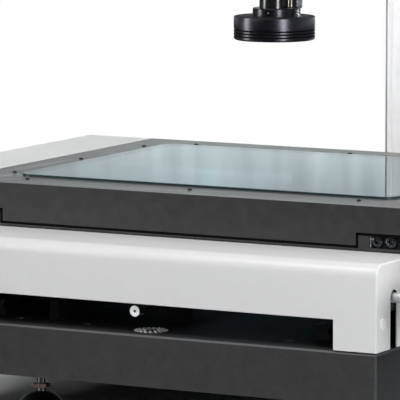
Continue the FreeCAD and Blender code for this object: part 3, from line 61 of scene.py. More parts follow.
def linked(name, data):
    made = bpy.data.objects.new(name, data)
    bpy.context.scene.collection.objects.link(made)
    return made


def linear(hexColour):
    # sRGB hex to a linear colour
    parts = [int(hexColour[i:i + 2], 16) / 255 for i in (1, 3, 5)]
    return [p / 12.92 if p <= 0.04045 else ((p + 0.055) / 1.055) ** 2.4 for p in parts] + [1.0]


def addNode(tree, kind, settings=None, links=None):
    node = tree.nodes.new(kind)
    for key, value in (settings or {}).items():
        if isinstance(key, int) or key in node.inputs:
            node.inputs[key].default_value = value
        else:
            setattr(node, key, value)
    for key, socket in (links or {}).items():
        tree.links.new(socket, node.inputs[key])
    return node


def between(tree, factor, low, high, fromMin=0.3, fromMax=0.7):
    return addNode(tree, "ShaderNodeMapRange",
                   {"From Min": fromMin, "From Max": fromMax, "To Min": low, "To Max": high},
                   {"Value": factor}).outputs[0]


def worked(tree, operation, first, second):
    return addNode(tree, "ShaderNodeMath", {"operation": operation}, {0: first, 1: second}).outputs[0]


def blended(tree, factor, first, second):
    return addNode(tree, "ShaderNodeMixShader", None, {0: factor, 1: first, 2: second}).outputs[0]


# camera, floor and studio light
view = {
    "place": (1.6150, -3.2494, 0.6034),
    "heading": 28.23,
    "tiltDown": 7.07,
    "lens": 376.56,
}

light = {
    "worldDiffuse": 0.02,
    "frontGloss": 0.05,      # the dark side of the studio, in front of the machine
    "backGloss": 0.61,       # the backdrop as metal and glass mirror it
    "horizon": (0.110, 0.123, 1.75),  # between these heights the backdrop grows this much brighter
    "ceiling": (0.25, 0.55, 0.08),    # and above these it goes dark
    "backTint": "#EFFAFD",
    "folds": 0.2,            # how far the cloth backdrop's upright folds change it
    "foldScale": (170, 170, 3),
    "leftEnd": (-0.502, -0.476, 0.66),  # towards its left end the backdrop darkens to this
    "boxes": {               # turn from the front, height angle, distance, width, height, power
        "keyLeft": (-25, 58, 3.0, 1.3, 1.3, 37.0),
        "keyLow": (-25, 28, 3.0, 1.3, 1.3, 6.0),
        "keyRight": (20, 58, 3.0, 1.3, 1.3, 30.0),
    },
    "sideBoxes": {           # seen by matt surfaces only, so black faces stay black
        "sideBox": (65, 28, 3.0, 1.3, 1.3, 37.0),
        "farSide": (110, 28, 3.0, 1.3, 1.3, 56.0),
    },
    "cards": {               # narrow reflectors that only gloss shows
        "leftCard": (-57.6, 12, 1.9, 0.45, 1.3, 20.0),
        "rightCard": (52.5, 12, 1.9, 0.40, 1.3, 27.0),
    },
    "columnGrid": (-38, 13, 2.4, 0.30, 0.60, 1.15),  # a gridded box that reaches only the column
    "gridSpread": 27,
    "gridAim": (0.0, 0.261, 0.53),
    "aim": (0, -0.1, 0.25),
    "floorTone": "#E4E5E6",
    "mattFloor": (0.19, 0.36, 0),    # half of the floor's matt part, in metres
    "floorFade": 0.40,               # and how far past it the floor turns plain white
    "floorReach": 30,
}


def makeCamera():
    data = bpy.data.cameras.new("photoCamera")
    data.sensor_width = 36
    data.lens = view["lens"]
    data.clip_start = 0.05
    data.clip_end = 100
    camera = linked("photoCamera", data)
    camera.location = view["place"]
    camera.rotation_euler = (math.radians(90 - view["tiltDown"]), 0, math.radians(view["heading"]))
    bpy.context.scene.camera = camera


def softbox(name, turn, height, distance, width, tall, power, aim=light["aim"], spread=180):
    away = Matrix.Rotation(math.radians(turn), 3, "Z") @ (
        Matrix.Rotation(math.radians(-height), 3, "X") @ Vector((0, -1, 0)))
    data = bpy.data.lights.new(name, "AREA")
    data.shape = "RECTANGLE"
    data.size = width
    data.size_y = tall
    data.energy = power
    data.spread = math.radians(spread)
    box = linked(name, data)
    box.location = Vector(aim) + away * distance
    box.rotation_euler = (-away).to_track_quat("-Z", "Y").to_euler()
    return box


def mirrored(tree, path):
    # 1 for a ray that a mirror or a glass sends on
    return worked(tree, "MAXIMUM", path.outputs["Is Glossy Ray"],
                  path.outputs["Is Transmission Ray"])


def makeStudio():
    world = bpy.data.worlds.new("studio")
    world.use_nodes = True
    tree = world.node_tree
    tree.nodes.clear()
    path = addNode(tree, "ShaderNodeLightPath")
    toward = addNode(tree, "ShaderNodeTexCoord").outputs["Generated"]
    split = addNode(tree, "ShaderNodeSeparateXYZ", None, {0: toward})
    across, deep, up = split.outputs
    backdrop = between(tree, deep, light["frontGloss"], light["backGloss"], -0.35, 0.35)
    start, end, brighter = light["horizon"]
    horizon = between(tree, up, brighter, 1.0, start, end)
    start, end, dark = light["ceiling"]
    ceiling = between(tree, up, 1.0, dark, start, end)
    start, end, dark = light["leftEnd"]
    leftEnd = between(tree, across, dark, 1.0, start, end)
    hung = addNode(tree, "ShaderNodeMapping", {"Scale": light["foldScale"]}, {"Vector": toward})
    cloth = addNode(tree, "ShaderNodeTexNoise", {"Scale": 1.0, "Detail": 3.0},
                    {"Vector": hung.outputs[0]})
    folds = between(tree, cloth.outputs[0], 1 - light["folds"], 1 + light["folds"])
    strength = backdrop
    for part in (horizon, ceiling, leftEnd, folds):
        strength = worked(tree, "MULTIPLY", strength, part)
    ambient = addNode(tree, "ShaderNodeBackground",
                      {"Color": (1, 1, 1, 1), "Strength": light["worldDiffuse"]})
    gloss = addNode(tree, "ShaderNodeBackground", {"Color": linear(light["backTint"])},
                    {"Strength": strength})
    white = addNode(tree, "ShaderNodeBackground", {"Color": (1, 1, 1, 1), "Strength": 1.0})
    lit = blended(tree, mirrored(tree, path), ambient.outputs[0], gloss.outputs[0])
    seen = blended(tree, path.outputs["Is Camera Ray"], lit, white.outputs[0])
    addNode(tree, "ShaderNodeOutputWorld", None, {"Surface": seen})
    bpy.context.scene.world = world
    bpy.context.scene.view_settings.view_transform = "Standard"
    for name, box in light["boxes"].items():
        softbox(name, *box)
    for name, box in light["sideBoxes"].items():
        softbox(name, *box).visible_glossy = False
    for name, card in light["cards"].items():
        softbox(name, *card).visible_diffuse = False
    grid = softbox("columnGrid", *light["columnGrid"], light["gridAim"], light["gridSpread"])
    grid.visible_glossy = False


def makeFloor():
    # pale floor: matt near the machine so its shadow shows, plain white further out
    mesh = bpy.data.meshes.new("floor")
    far = light["floorReach"]
    mesh.from_pydata([(-far, -far, 0), (far, -far, 0), (far, far, 0), (-far, far, 0)], [],
                     [(0, 1, 2, 3)])
    floor = linked("floor", mesh)
    material = bpy.data.materials.new("paleFloor")
    material.use_nodes = True
    tree = material.node_tree
    tree.nodes.clear()
    coords = addNode(tree, "ShaderNodeTexCoord").outputs["Object"]
    reach = addNode(tree, "ShaderNodeVectorMath", {"operation": "ABSOLUTE"}, {0: coords})
    beyond = addNode(tree, "ShaderNodeVectorMath",
                     {"operation": "SUBTRACT", 1: light["mattFloor"]}, {0: reach.outputs[0]})
    clipped = addNode(tree, "ShaderNodeVectorMath", {"operation": "MAXIMUM", 1: (0, 0, 0)},
                      {0: beyond.outputs[0]})
    past = addNode(tree, "ShaderNodeVectorMath", {"operation": "LENGTH"}, {0: clipped.outputs[0]})
    fade = addNode(tree, "ShaderNodeMapRange",
                   {"From Min": 0.0, "From Max": light["floorFade"],
                    "interpolation_type": "SMOOTHSTEP"}, {"Value": past.outputs["Value"]})
    path = addNode(tree, "ShaderNodeLightPath")
    matt = addNode(tree, "ShaderNodeBsdfDiffuse", {"Color": linear(light["floorTone"])})
    white = addNode(tree, "ShaderNodeEmission", {"Color": (1, 1, 1, 1), "Strength": 1.0})
    gloss = addNode(tree, "ShaderNodeEmission",
                    {"Color": linear(light["backTint"]), "Strength": light["frontGloss"]})
    mirror = worked(tree, "MULTIPLY", mirrored(tree, path), fade.outputs[0])
    lit = blended(tree, mirror, matt.outputs[0], gloss.outputs[0])
    plain = worked(tree, "MULTIPLY", path.outputs["Is Camera Ray"], fade.outputs[0])
    mixed = blended(tree, plain, lit, white.outputs[0])
    addNode(tree, "ShaderNodeOutputMaterial", None, {"Surface": mixed})
    mesh.materials.append(material)


makeCamera()
makeStudio()
makeFloor()
print("camera, light and floor ready")


# finishes
def newFinish(name, shading):
    # A Principled material; what is the same all over is set on its own sockets
    material = bpy.data.materials.new(name)
    material.use_nodes = True
    tree = material.node_tree
    shader = tree.nodes["Principled BSDF"]
    for key, value in shading.items():
        shader.inputs[key].default_value = value
    coords = addNode(tree, "ShaderNodeTexCoord").outputs["Object"]
    return material, tree, shader, coords


def grain(tree, coords, sizeMm, detail=2.0, stretch=(1, 1, 1), rough=0.5):
    # Noise whose cells are about sizeMm across, drawn out along an axis by stretch
    turned = addNode(tree, "ShaderNodeMapping", {"Scale": stretch}, {"Vector": coords})
    return addNode(tree, "ShaderNodeTexNoise",
                   {"Scale": 1 / (sizeMm * mm), "Detail": detail, "Roughness": rough},
                   {"Vector": turned.outputs[0]}).outputs[0]


def twoTones(tree, factor, dark, pale):
    ramp = addNode(tree, "ShaderNodeValToRGB", None, {"Fac": factor})
    ramp.color_ramp.elements[0].position = 0.3
    ramp.color_ramp.elements[1].position = 0.7
    ramp.color_ramp.elements[0].color = linear(dark)
    ramp.color_ramp.elements[1].color = linear(pale)
    return ramp.outputs["Color"]


def relief(tree, shader, height, depthMm, strength=1.0):
    bump = addNode(tree, "ShaderNodeBump", {"Strength": strength, "Distance": depthMm * mm},
                   {"Height": height})
    tree.links.new(bump.outputs[0], shader.inputs["Normal"])


# One row for each plain finish: two close tones, size of its grain and of its peel in mm, how
# rough from and to, how deep the peel is in mm, and what is the same all over
coats = {
    # powder coat on sheet steel: even satin white, a faint orange peel
    "whiteEnamel": (("#D8D8D8", "#DADADA"), 2.4, 1.1, (0.28, 0.33), 0.004, {"IOR": 1.5}),
    # the same coat, a few shades whiter, on the column
    "columnWhite": (("#F1F2F2", "#F5F6F6"), 1.6, 1.1, (0.36, 0.44), 0.010, {"IOR": 1.5}),
    # dark primer on dark parts, also painted shade on the cover's inside, under the stage frame and on the
    # strip's top
    "darkPrimer": (("#101112", "#151617"), 1.5, 0.8, (0.65, 0.8), 0.01,
                   {"IOR": 1.5, "Specular IOR Level": 0.15}),
    # matt black anodised aluminium plate, bead blasted: satin, with a very fine tooth
    "blackAnodised": (("#2B2B2B", "#313131"), 2.5, 0.35, (0.38, 0.47), 0.006, {"IOR": 1.5}),
    # the ground top of the same plate, which mirrors more at a low angle
    "groundAnodised": (("#2A2928", "#302F2E"), 9.0, 1.2, (0.22, 0.26), 0.0004,
                       {"IOR": 1.38, "Sheen Weight": 0.05, "Sheen Roughness": 0.4,
                        "Sheen Tint": linear("#FFE2D2")}),
    # seamed edge of float glass: its thickness shows a dark blue green
    "glassEdge": (("#0D2A30", "#13363C"), 2.0, 0.5, (0.30, 0.40), 0.004, {"IOR": 1.52}),
    # painted shade: grey where the column's corner profiles turn to the side
    "edgeGrey": (("#8B8C8D", "#959697"), 3.0, 0.8, (0.45, 0.55), 0.004, {"IOR": 1.5}),
    # the honed chamfer of the granite, paler than its faces, partly as a painted highlight
    "honedEdge": (("#3A3C3E", "#434547"), 1.5, 0.7, (0.50, 0.60), 0.003, {"IOR": 1.54}),
    # satin clear anodised sheet: pale silver, soft broad reflection
    "silverAnodised": (("#E2E2E1", "#E8E8E7"), 3.0, 0.4, (0.42, 0.50), 0.004, {"Metallic": 0.25}),
    # hammered dark grey machine enamel on cast iron
    "castGrey": (("#2B2D2F", "#343638"), 3.0, 1.8, (0.50, 0.62), 0.05, {"IOR": 1.5}),
    # oxide blackened steel screws: oily black with small bright glints
    "blackScrew": (("#1B1C1E", "#2A2C2E"), 0.8, 0.3, (0.24, 0.36), 0.004, {"Metallic": 0.8}),
    # black chromed bearing steel, as rails are sold for damp rooms: dark, low sheen
    "blackChrome": (("#1C1D1F", "#25272A"), 1.2, 0.3, (0.34, 0.46), 0.003, {"Metallic": 0.6}),
    # gloss anodised lens tube: near black with a crisp highlight
    "blackLens": (("#0B0C0D", "#101112"), 2.0, 0.4, (0.18, 0.24), 0.002, {"IOR": 1.65}),
    # moulded black ABS, spark-eroded skin
    "blackPlastic": (("#17181A", "#1E2022"), 1.2, 0.5, (0.40, 0.52), 0.02, {"IOR": 1.46}),
    # moulded white nylon plugs
    "whitePlastic": (("#E4E5E4", "#EAEBEA"), 1.2, 0.5, (0.38, 0.46), 0.01, {"IOR": 1.46}),
    # neoprene belt, dull
    "beltRubber": (("#121212", "#1B1B1B"), 0.8, 0.4, (0.60, 0.75), 0.03, {"IOR": 1.5}),
    # nitrile foot pad, smooth from the mould
    "footRubber": (("#0C0E11", "#14171B"), 1.5, 0.6, (0.36, 0.46), 0.01, {"IOR": 1.52}),
    # nickel plated brass
    "brassConnector": (("#DDD6BE", "#EAE4D0"), 1.0, 0.3, (0.34, 0.44), 0.003, {"Metallic": 0.6}),
    # zinc-nickel casting, grey and a little mottled
    "nickelGrey": (("#606266", "#96999D"), 0.8, 0.4, (0.34, 0.48), 0.01, {"Metallic": 0.6}),
    # hard chrome on a ground rod: mirror with a trace of the grinding
    "chromedSteel": (("#D9DBDD", "#E2E4E6"), 1.5, 0.3, (0.08, 0.14), 0.001, {"Metallic": 1.0}),
    # ground and oiled shaft steel: bright, soft sheen
    "satinSteel": (("#D4D6D8", "#E0E2E3"), 1.5, 0.4, (0.38, 0.48), 0.003, {"Metallic": 0.75}),
    # blasted black oxide: dark, with coarse crystals that sparkle
    "sparkBlack": (("#111213", "#5E6063"), 0.3, 1.3, (0.14, 0.26), 0.35, {"Metallic": 1.0}),
    # dead matt black anodising on an upper face
    "mattAnodised": (("#0A0A0C", "#0F0F12"), 1.5, 0.4, (0.50, 0.60), 0.01,
                     {"IOR": 1.5, "Specular IOR Level": 0.35}),
    # near-black painted shade, the darkest thing on the machine, for the gap under the stage frame, the
    # ring light's grooves and the set screw's hole
    "lipRubber": (("#040404", "#070707"), 2.0, 0.6, (0.70, 0.85), 0.01,
                  {"IOR": 1.5, "Specular IOR Level": 0.05}),
    # blued and oiled steel: dark, but a sharp light still draws a line on it
    "oiledSteel": (("#343436", "#444447"), 1.5, 0.5, (0.10, 0.16), 0.001, {"Metallic": 1.0}),
    # a faced and blasted steel end: nearly white, no mirror in it; the near white is partly painted
    # highlight
    "facedSteel": (("#EDEEEE", "#F6F6F6"), 0.8, 0.3, (0.60, 0.72), 0.01, {"Metallic": 0.35}),
    # brown phosphated nut with oil on it
    "brownNut": (("#6E5554", "#937B7A"), 1.2, 0.4, (0.24, 0.36), 0.03, {"Metallic": 0.7}),
    # zinc plated steel, bright with a bluish cast
    "zincSteel": (("#C3C7CC", "#DADDE0"), 1.0, 0.4, (0.18, 0.28), 0.004, {"Metallic": 1.0}),
    # white filling in engraved lines
    "whiteFill": (("#DDDEDD", "#E8E9E8"), 0.8, 0.4, (0.50, 0.60), 0.004, {"IOR": 1.5}),
}


def coatFinish(name):
    tones, grainMm, peelMm, rough, depthMm, shading = coats[name]
    material, tree, shader, coords = newFinish(name, shading)
    broad = grain(tree, coords, grainMm * 4, detail=3)
    fine = grain(tree, coords, peelMm)
    tree.links.new(twoTones(tree, broad, *tones), shader.inputs["Base Color"])
    tree.links.new(between(tree, broad, *rough), shader.inputs["Roughness"])
    relief(tree, shader, fine, depthMm)
    return material


def turnedFinish(name, tones, rough, shading, lineMm=0.55, depthMm=0.004):
    # Lathe-turned and anodised: fine rings around Z, which draw a highlight out upright.
    # Real tool marks are 0.1 mm apart, too fine to show, so they are drawn coarser
    material, tree, shader, coords = newFinish(name, shading)
    rings = grain(tree, coords, lineMm, detail=2, stretch=(0.02, 0.02, 1), rough=0.7)
    broad = grain(tree, coords, 8, detail=3)
    tree.links.new(twoTones(tree, broad, *tones), shader.inputs["Base Color"])
    tree.links.new(between(tree, rings, *rough), shader.inputs["Roughness"])
    relief(tree, shader, rings, depthMm)
    return material


def graniteFinish(name, darkTone, paleTone, fleckTone, rough, specular):
    # black diabase: fine grey flecks of 0.5 to 2 mm in a near black ground
    material, tree, shader, coords = newFinish(name, {"IOR": 1.54, "Specular IOR Level": specular})
    flecks = addNode(tree, "ShaderNodeTexVoronoi", {"Scale": 1 / (1.1 * mm), "Randomness": 1.0},
                     {"Vector": coords})
    cloud = grain(tree, coords, 9, detail=4)
    spots = between(tree, flecks.outputs["Color"], 0, 1, 0.1, 0.9)
    ground = twoTones(tree, cloud, darkTone, paleTone)
    fleck = addNode(tree, "ShaderNodeMix", {"data_type": "RGBA", 7: linear(fleckTone)},
                    {6: ground})
    tree.links.new(between(tree, spots, 0.0, 0.22, 0.55, 0.9), fleck.inputs[0])
    tree.links.new(fleck.outputs[2], shader.inputs["Base Color"])
    tree.links.new(between(tree, spots, *rough, 0, 1), shader.inputs["Roughness"])
    relief(tree, shader, spots, 0.0015)
    return material


def groundSteelFinish():
    # surface-ground steel: fine parallel lines along Y, a soft sheen across them
    material, tree, shader, coords = newFinish("groundSteel", {"Metallic": 1.0})
    lines = grain(tree, coords, 0.6, detail=3, stretch=(1, 0.03, 1), rough=0.7)
    broad = grain(tree, coords, 14, detail=2)
    tree.links.new(twoTones(tree, lines, "#8E9194", "#A9ACAF"), shader.inputs["Base Color"])
    tree.links.new(between(tree, broad, 0.24, 0.36), shader.inputs["Roughness"])
    relief(tree, shader, lines, 0.003)
    return material


def glassFinish():
    # float glass: faint blue-green, clear with a strong reflection
    material, tree, shader, coords = newFinish(
        "stageGlass", {"Transmission Weight": 1.0, "IOR": 1.52,
                       "Specular Tint": linear("#C9ECF7")})
    smear = grain(tree, coords, 60, detail=3)
    tree.links.new(twoTones(tree, smear, "#AED4DE", "#B8DBE3"), shader.inputs["Base Color"])
    tree.links.new(between(tree, smear, 0.015, 0.04), shader.inputs["Roughness"])
    return material


def opalFinish():
    # opal acrylic over the lamp: milky, barely glossy
    material, tree, shader, coords = newFinish(
        "opalWindow", {"IOR": 1.49, "Subsurface Weight": 0.2, "Subsurface Radius": (1, 1, 1),
                       "Subsurface Scale": 0.002})
    cloud = grain(tree, coords, 12, detail=2)
    tree.links.new(twoTones(tree, cloud, "#E6E8E4", "#EEF0EC"), shader.inputs["Base Color"])
    tree.links.new(between(tree, cloud, 0.22, 0.3), shader.inputs["Roughness"])
    return material


finishes = {name: coatFinish(name) for name in coats}
finishes.update(
    # honed faces are a little greyer than the polished, oiled sides, which are also painted darker as
    # shade
    blackGranite=graniteFinish("blackGranite", "#2A2A2B", "#323233", "#3F4245", (0.48, 0.62), 0.25),
    polishedGranite=graniteFinish("polishedGranite", "#191A1B", "#1F2022", "#2C2E30", (0.3, 0.4), 0.08),
    groundSteel=groundSteelFinish(), stageGlass=glassFinish(), lightWindow=opalFinish(),
    # black anodised ring, turned: deep black with soft upright bands of light
    turnedRing=turnedFinish("turnedRing", ("#050509", "#08080E"), (0.25, 0.32),
                            {"IOR": 1.55, "Specular Tint": linear("#F3EFFF")}),
    # turned bright steel
    turnedSteel=turnedFinish("turnedSteel", ("#B9BCC0", "#CDD0D3"), (0.16, 0.28),
                             {"Metallic": 1.0}, 0.4, 0.003))


def finishFor(slot):
    words = slot.split("_")
    return finishes[words[0] + "".join(word.title() for word in words[1:])]


nodeFinish = {  # nodes whose own finish differs from the rest of their slot
    "column_body": "columnWhite", "column_cap": "columnWhite", "y_rail_left": "blackChrome",
    "y_rail_right": "blackChrome", "x_rails": "blackChrome", "z_rails": "blackChrome",
    "y_bearing_blocks": "blackChrome", "x_bearing_blocks": "blackChrome",
    "z_bearing_blocks": "blackChrome", "y_scale": "darkPrimer", "x_rod_blocks": "darkPrimer",
    "y_read_head": "darkPrimer", "stage_front_strip": "blackAnodised",
    "y_wheel_shaft": "satinSteel", "y_rod_cradles": "darkPrimer",
}


def nodeCoat(name):
    return finishes[nodeFinish[name]] if name in nodeFinish else finishFor(slotOf[name])


for name, node in nodes.items():
    node.data.materials.clear()
    node.data.materials.append(nodeCoat(name))
print("finishes on", len(nodes), "CAD nodes")


# pieces that keep the CAD shape but get eased edges and smooth round faces
easedEdges = {  # edge radius in mm
    "granite_base": 0.3, "column_body": 0.5, "column_cap": 0.8, "column_flange": 0.6,
    "rear_panel": 0.3, "power_inlet": 0.4, "power_switch_rocker": 0.4,
    "carriage_casting": 0.8, "carriage_cover": 0.4, "y_shaft_brackets": 0.5,
    "x_shaft_brackets": 0.5, "y_read_head": 0.6, "stage_frame": 0.5, "stage_front_strip": 0.25,
    "stage_glass": 0.0, "end_cover_left": 0.3, "end_cover_right": 0.3, "x_rod_blocks": 0.3,
    "y_handwheel": 0.4, "x_handwheel": 0.4, "z_handwheel": 0.4, "z_slide_plate": 0.5,
    "z_arm": 1.5, "camera": 0.8, "y_bearing_blocks": 0.5, "x_bearing_blocks": 0.5,
    "z_bearing_blocks": 0.5, "y_rail_left": 0.2, "y_rail_right": 0.2, "x_rails": 0.2,
    "z_rails": 0.2, "z_rack": 0.0, "z_pinion_shaft": 0.0, "y_scale": 0.4,
    "contour_light_base": 0.5, "contour_light_tube": 0.3, "contour_light_window": 0.2,
    "y_rod_cradles": 0.3, "y_drive_belt": 0.2, "x_drive_belt": 0.2, "zoom_lens_barrel": 0.2,
    "zoom_ring": 0.2, "ring_light_diffuser": 0.0,
    "y_drive_rod": 0.3, "x_drive_rod": 0.3, "y_wheel_shaft": 0.2,
    "x_wheel_shaft": 0.2, "y_roller_shaft": 0.3, "x_roller_shaft": 0.3, "cover_plugs": 0.3,
    "foot_pads": 0.3,
}


def finishPiece(piece, body, material, slot, *stoodFor):
    # Gives the piece its material and ties it to the frame
    if material is not None:
        piece.data.materials.clear()
        piece.data.materials.append(material)
    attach(piece, body)
    if stoodFor:
        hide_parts(*stoodFor)
    return piece


def smoothByAngle(mesh, degrees=28):
    mesh.polygons.foreach_set("use_smooth", [True] * len(mesh.polygons))
    mesh.set_sharp_from_angle(angle=math.radians(degrees))


def bakedMesh(piece):
    # The piece's mesh with its modifiers applied, and the modifiers removed
    bpy.context.view_layer.update()
    shown = piece.evaluated_get(bpy.context.evaluated_depsgraph_get())
    mesh = bpy.data.meshes.new_from_object(shown)
    piece.modifiers.clear()
    piece.data = mesh
    return mesh


def easedCopy(name, edgeMm):
    mesh = nodes[name].data.copy()
    shape = bmesh.new()
    shape.from_mesh(mesh)
    bmesh.ops.remove_doubles(shape, verts=shape.verts, dist=weld)
    bmesh.ops.dissolve_limit(shape, angle_limit=math.radians(0.4), use_dissolve_boundaries=False,
                             verts=shape.verts, edges=shape.edges, delimit={"MATERIAL"})
    shape.to_mesh(mesh)
    shape.free()
    piece = linked(name + ".eased", mesh)
    smoothByAngle(mesh)
    if edgeMm:
        bevel = piece.modifiers.new("easedEdge", "BEVEL")
        bevel.harden_normals = True      # a flat face stays flat beside its eased edge
        bevel.width = edgeMm * mm
        bevel.segments = 2
        bevel.limit_method = "ANGLE"
        bevel.angle_limit = math.radians(35)
        bevel.use_clamp_overlap = True
        bakedMesh(piece)
    return finishPiece(piece, bodyOf[name], nodeCoat(name), slotOf[name], name)


eased = {name: easedCopy(name, edgeMm) for name, edgeMm in easedEdges.items()}
print("eased copies:", len(eased))


def secondFinish(piece, finish, chosen):
    # Gives the faces that chosen(centre, normal) picks, in mm, another finish
    piece.data.materials.append(finishes[finish])
    for face in piece.data.polygons:
        if chosen(face.center / mm, face.normal):
            face.material_index = len(piece.data.materials) - 1


def insideOf(name, depthMm):
    # True for faces that look in towards the middle of a node's box
    low, high = boxMm(name)
    lowCore = low + Vector((depthMm,) * 3)
    highCore = high - Vector((depthMm,) * 3)

    def facesIn(centre, normal):
        core = Vector([min(max(c, a), b) for c, a, b in zip(centre, lowCore, highCore)])
        return normal.dot(centre - core) < -0.1
    return facesIn


# the cover's inside faces take dark primer as painted shade
secondFinish(eased["carriage_cover"], "darkPrimer", insideOf("carriage_cover", 30))
secondFinish(eased["stage_frame"], "groundAnodised", lambda at, way: way.z > 0.9)
# the frame's underside takes dark primer as painted shade
secondFinish(eased["stage_frame"], "darkPrimer", lambda at, way: way.z < -0.6)
secondFinish(eased["stage_glass"], "glassEdge", lambda at, way: abs(way.z) < 0.9)
# the strip's top faces, in the gap under the frame, take dark primer as painted shade
secondFinish(eased["stage_front_strip"], "darkPrimer", lambda at, way: way.z > 0.6)
# the chamfer's paler tone is partly painted highlight
secondFinish(eased["granite_base"], "honedEdge", lambda at, way: 0.3 < way.z < 0.95)
# the side faces are polished and, partly as painted shade, darker
secondFinish(eased["granite_base"], "polishedGranite", lambda at, way: abs(way.x) > 0.9)
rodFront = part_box("y_drive_rod")[0][1] / mm
# the rod's front end is near white, partly as painted highlight
secondFinish(eased["y_drive_rod"], "facedSteel", lambda at, way: way.y < -0.5 and at.y < rodFront + 0.5)
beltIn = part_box("y_drive_belt")[0][0] / mm
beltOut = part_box("y_drive_belt")[1][0] / mm
# faces under the belt take its rubber; faces further in, inside the cover, take it as painted shade
secondFinish(eased["y_wheel_shaft"], "beltRubber",
             lambda at, way: beltIn - 1 < at.x < beltOut + 1 or at.x < beltIn)


# geometry trees for what repeats
def newTree(name, inputs):
    # An empty tree with named inputs; Points is the mesh of the object that runs it
    tree = bpy.data.node_groups.new(name, "GeometryNodeTree")
    tree.interface.new_socket("Geometry", in_out="OUTPUT", socket_type="NodeSocketGeometry")
    tree.interface.new_socket("Points", in_out="INPUT", socket_type="NodeSocketGeometry")
    for key, kind in {**inputs, "Centre": "Vector", "Turn": "Vector", "Finish": "Material"}.items():
        tree.interface.new_socket(key, in_out="INPUT", socket_type="NodeSocket" + kind)
    return tree, addNode(tree, "NodeGroupInput").outputs


def endTree(tree, given, geometry):
    # Turns and places what the tree made, makes it real and gives it its finish
    placed = addNode(tree, "GeometryNodeTransform", None,
                     {"Geometry": geometry, "Translation": given["Centre"],
                      "Rotation": given["Turn"]})
    real = addNode(tree, "GeometryNodeRealizeInstances", None, {0: placed.outputs[0]})
    coated = addNode(tree, "GeometryNodeSetMaterial", None,
                     {"Geometry": real.outputs[0], "Material": given["Finish"]})
    addNode(tree, "NodeGroupOutput", None, {0: coated.outputs[0]})
    return tree


def shapeOn(tree, given, points, more=None):
    # Sets the Shape on each of the points and ends the tree
    shape = addNode(tree, "GeometryNodeObjectInfo", None, {"Object": given["Shape"]})
    copies = addNode(tree, "GeometryNodeInstanceOnPoints", None,
                     {"Points": points, "Instance": shape.outputs["Geometry"], **(more or {})})
    return endTree(tree, given, copies.outputs[0])


def spotsTree():
    # One Shape on each point
    tree, given = newTree("onSpots", {"Shape": "Object"})
    return shapeOn(tree, given, given["Points"])


def ringTree():
    # Count Shapes round a circle, each turned to face outwards
    tree, given = newTree("aroundRing", {"Shape": "Object", "Count": "Int", "Radius": "Float"})
    ring = addNode(tree, "GeometryNodeMeshCircle", None,
                   {"Vertices": given["Count"], "Radius": given["Radius"]})
    index = addNode(tree, "GeometryNodeInputIndex")
    share = worked(tree, "DIVIDE", index.outputs[0], given["Count"])
    angle = addNode(tree, "ShaderNodeMath", {"operation": "MULTIPLY", 1: math.tau},
                    {0: share})
    outwards = addNode(tree, "ShaderNodeCombineXYZ", None, {"Z": angle.outputs[0]})
    return shapeOn(tree, given, ring.outputs[0], {"Rotation": outwards.outputs[0]})


def rowTree():
    # Count Shapes in a straight row, Step apart
    tree, given = newTree("inRow", {"Shape": "Object", "Count": "Int", "Step": "Vector"})
    row = addNode(tree, "GeometryNodeMeshLine", {"mode": "OFFSET"},
                  {"Count": given["Count"], "Offset": given["Step"]})
    return shapeOn(tree, given, row.outputs[0])


def threadTree():
    # A ridge wound up a cylinder, then set on each point
    tree, given = newTree("wound", {"Radius": "Float", "Turns": "Float", "Height": "Float",
                                    "Ridge": "Float"})
    spiral = addNode(tree, "GeometryNodeCurveSpiral", {"Resolution": 32},
                     {"Rotations": given["Turns"], "Start Radius": given["Radius"],
                      "End Radius": given["Radius"], "Height": given["Height"]})
    ridge = addNode(tree, "GeometryNodeCurvePrimitiveCircle", {"Resolution": 5},
                    {"Radius": given["Ridge"]})
    wound = addNode(tree, "GeometryNodeCurveToMesh", {"Fill Caps": True},
                    {"Curve": spiral.outputs[0], "Profile Curve": ridge.outputs[0]})
    copies = addNode(tree, "GeometryNodeInstanceOnPoints", None,
                     {"Points": given["Points"], "Instance": wound.outputs[0]})
    return endTree(tree, given, copies.outputs[0])


trees = {"spots": spotsTree(), "ring": ringTree(), "row": rowTree(), "thread": threadTree()}


def grown(name, kind, finish, inputs, points=((0, 0, 0),)):
    # Runs a tree on a mesh of points, in mm, and keeps what it makes as a plain mesh
    mesh = bpy.data.meshes.new(name)
    mesh.from_pydata([Vector(point) * mm for point in points], [], [])
    piece = linked(name, mesh)
    grower = piece.modifiers.new("grower", "NODES")
    grower.node_group = trees[kind]
    given = {**inputs, "Finish": finishes[finish]}
    for socket in trees[kind].interface.items_tree:
        if socket.in_out == "INPUT" and socket.name in given:
            grower[socket.identifier] = given[socket.name]
    bakedMesh(piece)
    smoothByAngle(piece.data)
    return piece


def grownAs(name, kind, inputs, points=((0, 0, 0),)):
    # As grown, for a shape with several finishes: its copies keep them
    shape = inputs["Shape"]
    finishList = list(shape.data.materials)
    part = [face.material_index for face in shape.data.polygons]
    piece = grown(name, kind, "blackScrew", inputs, points)
    piece.data.materials.clear()
    for finish in finishList:
        piece.data.materials.append(finish)
    for face in piece.data.polygons:
        face.material_index = part[face.index % len(part)]
    return piece


def dropShapes(*shapes):
    for shape in shapes:
        bpy.data.objects.remove(shape)


def meshPiece(name, shape):
    mesh = bpy.data.meshes.new(name)
    bmesh.ops.remove_doubles(shape, verts=shape.verts, dist=0.001 * mm)
    bmesh.ops.recalc_face_normals(shape, faces=shape.faces)
    shape.to_mesh(mesh)
    shape.free()
    smoothByAngle(mesh)
    return linked(name, mesh)


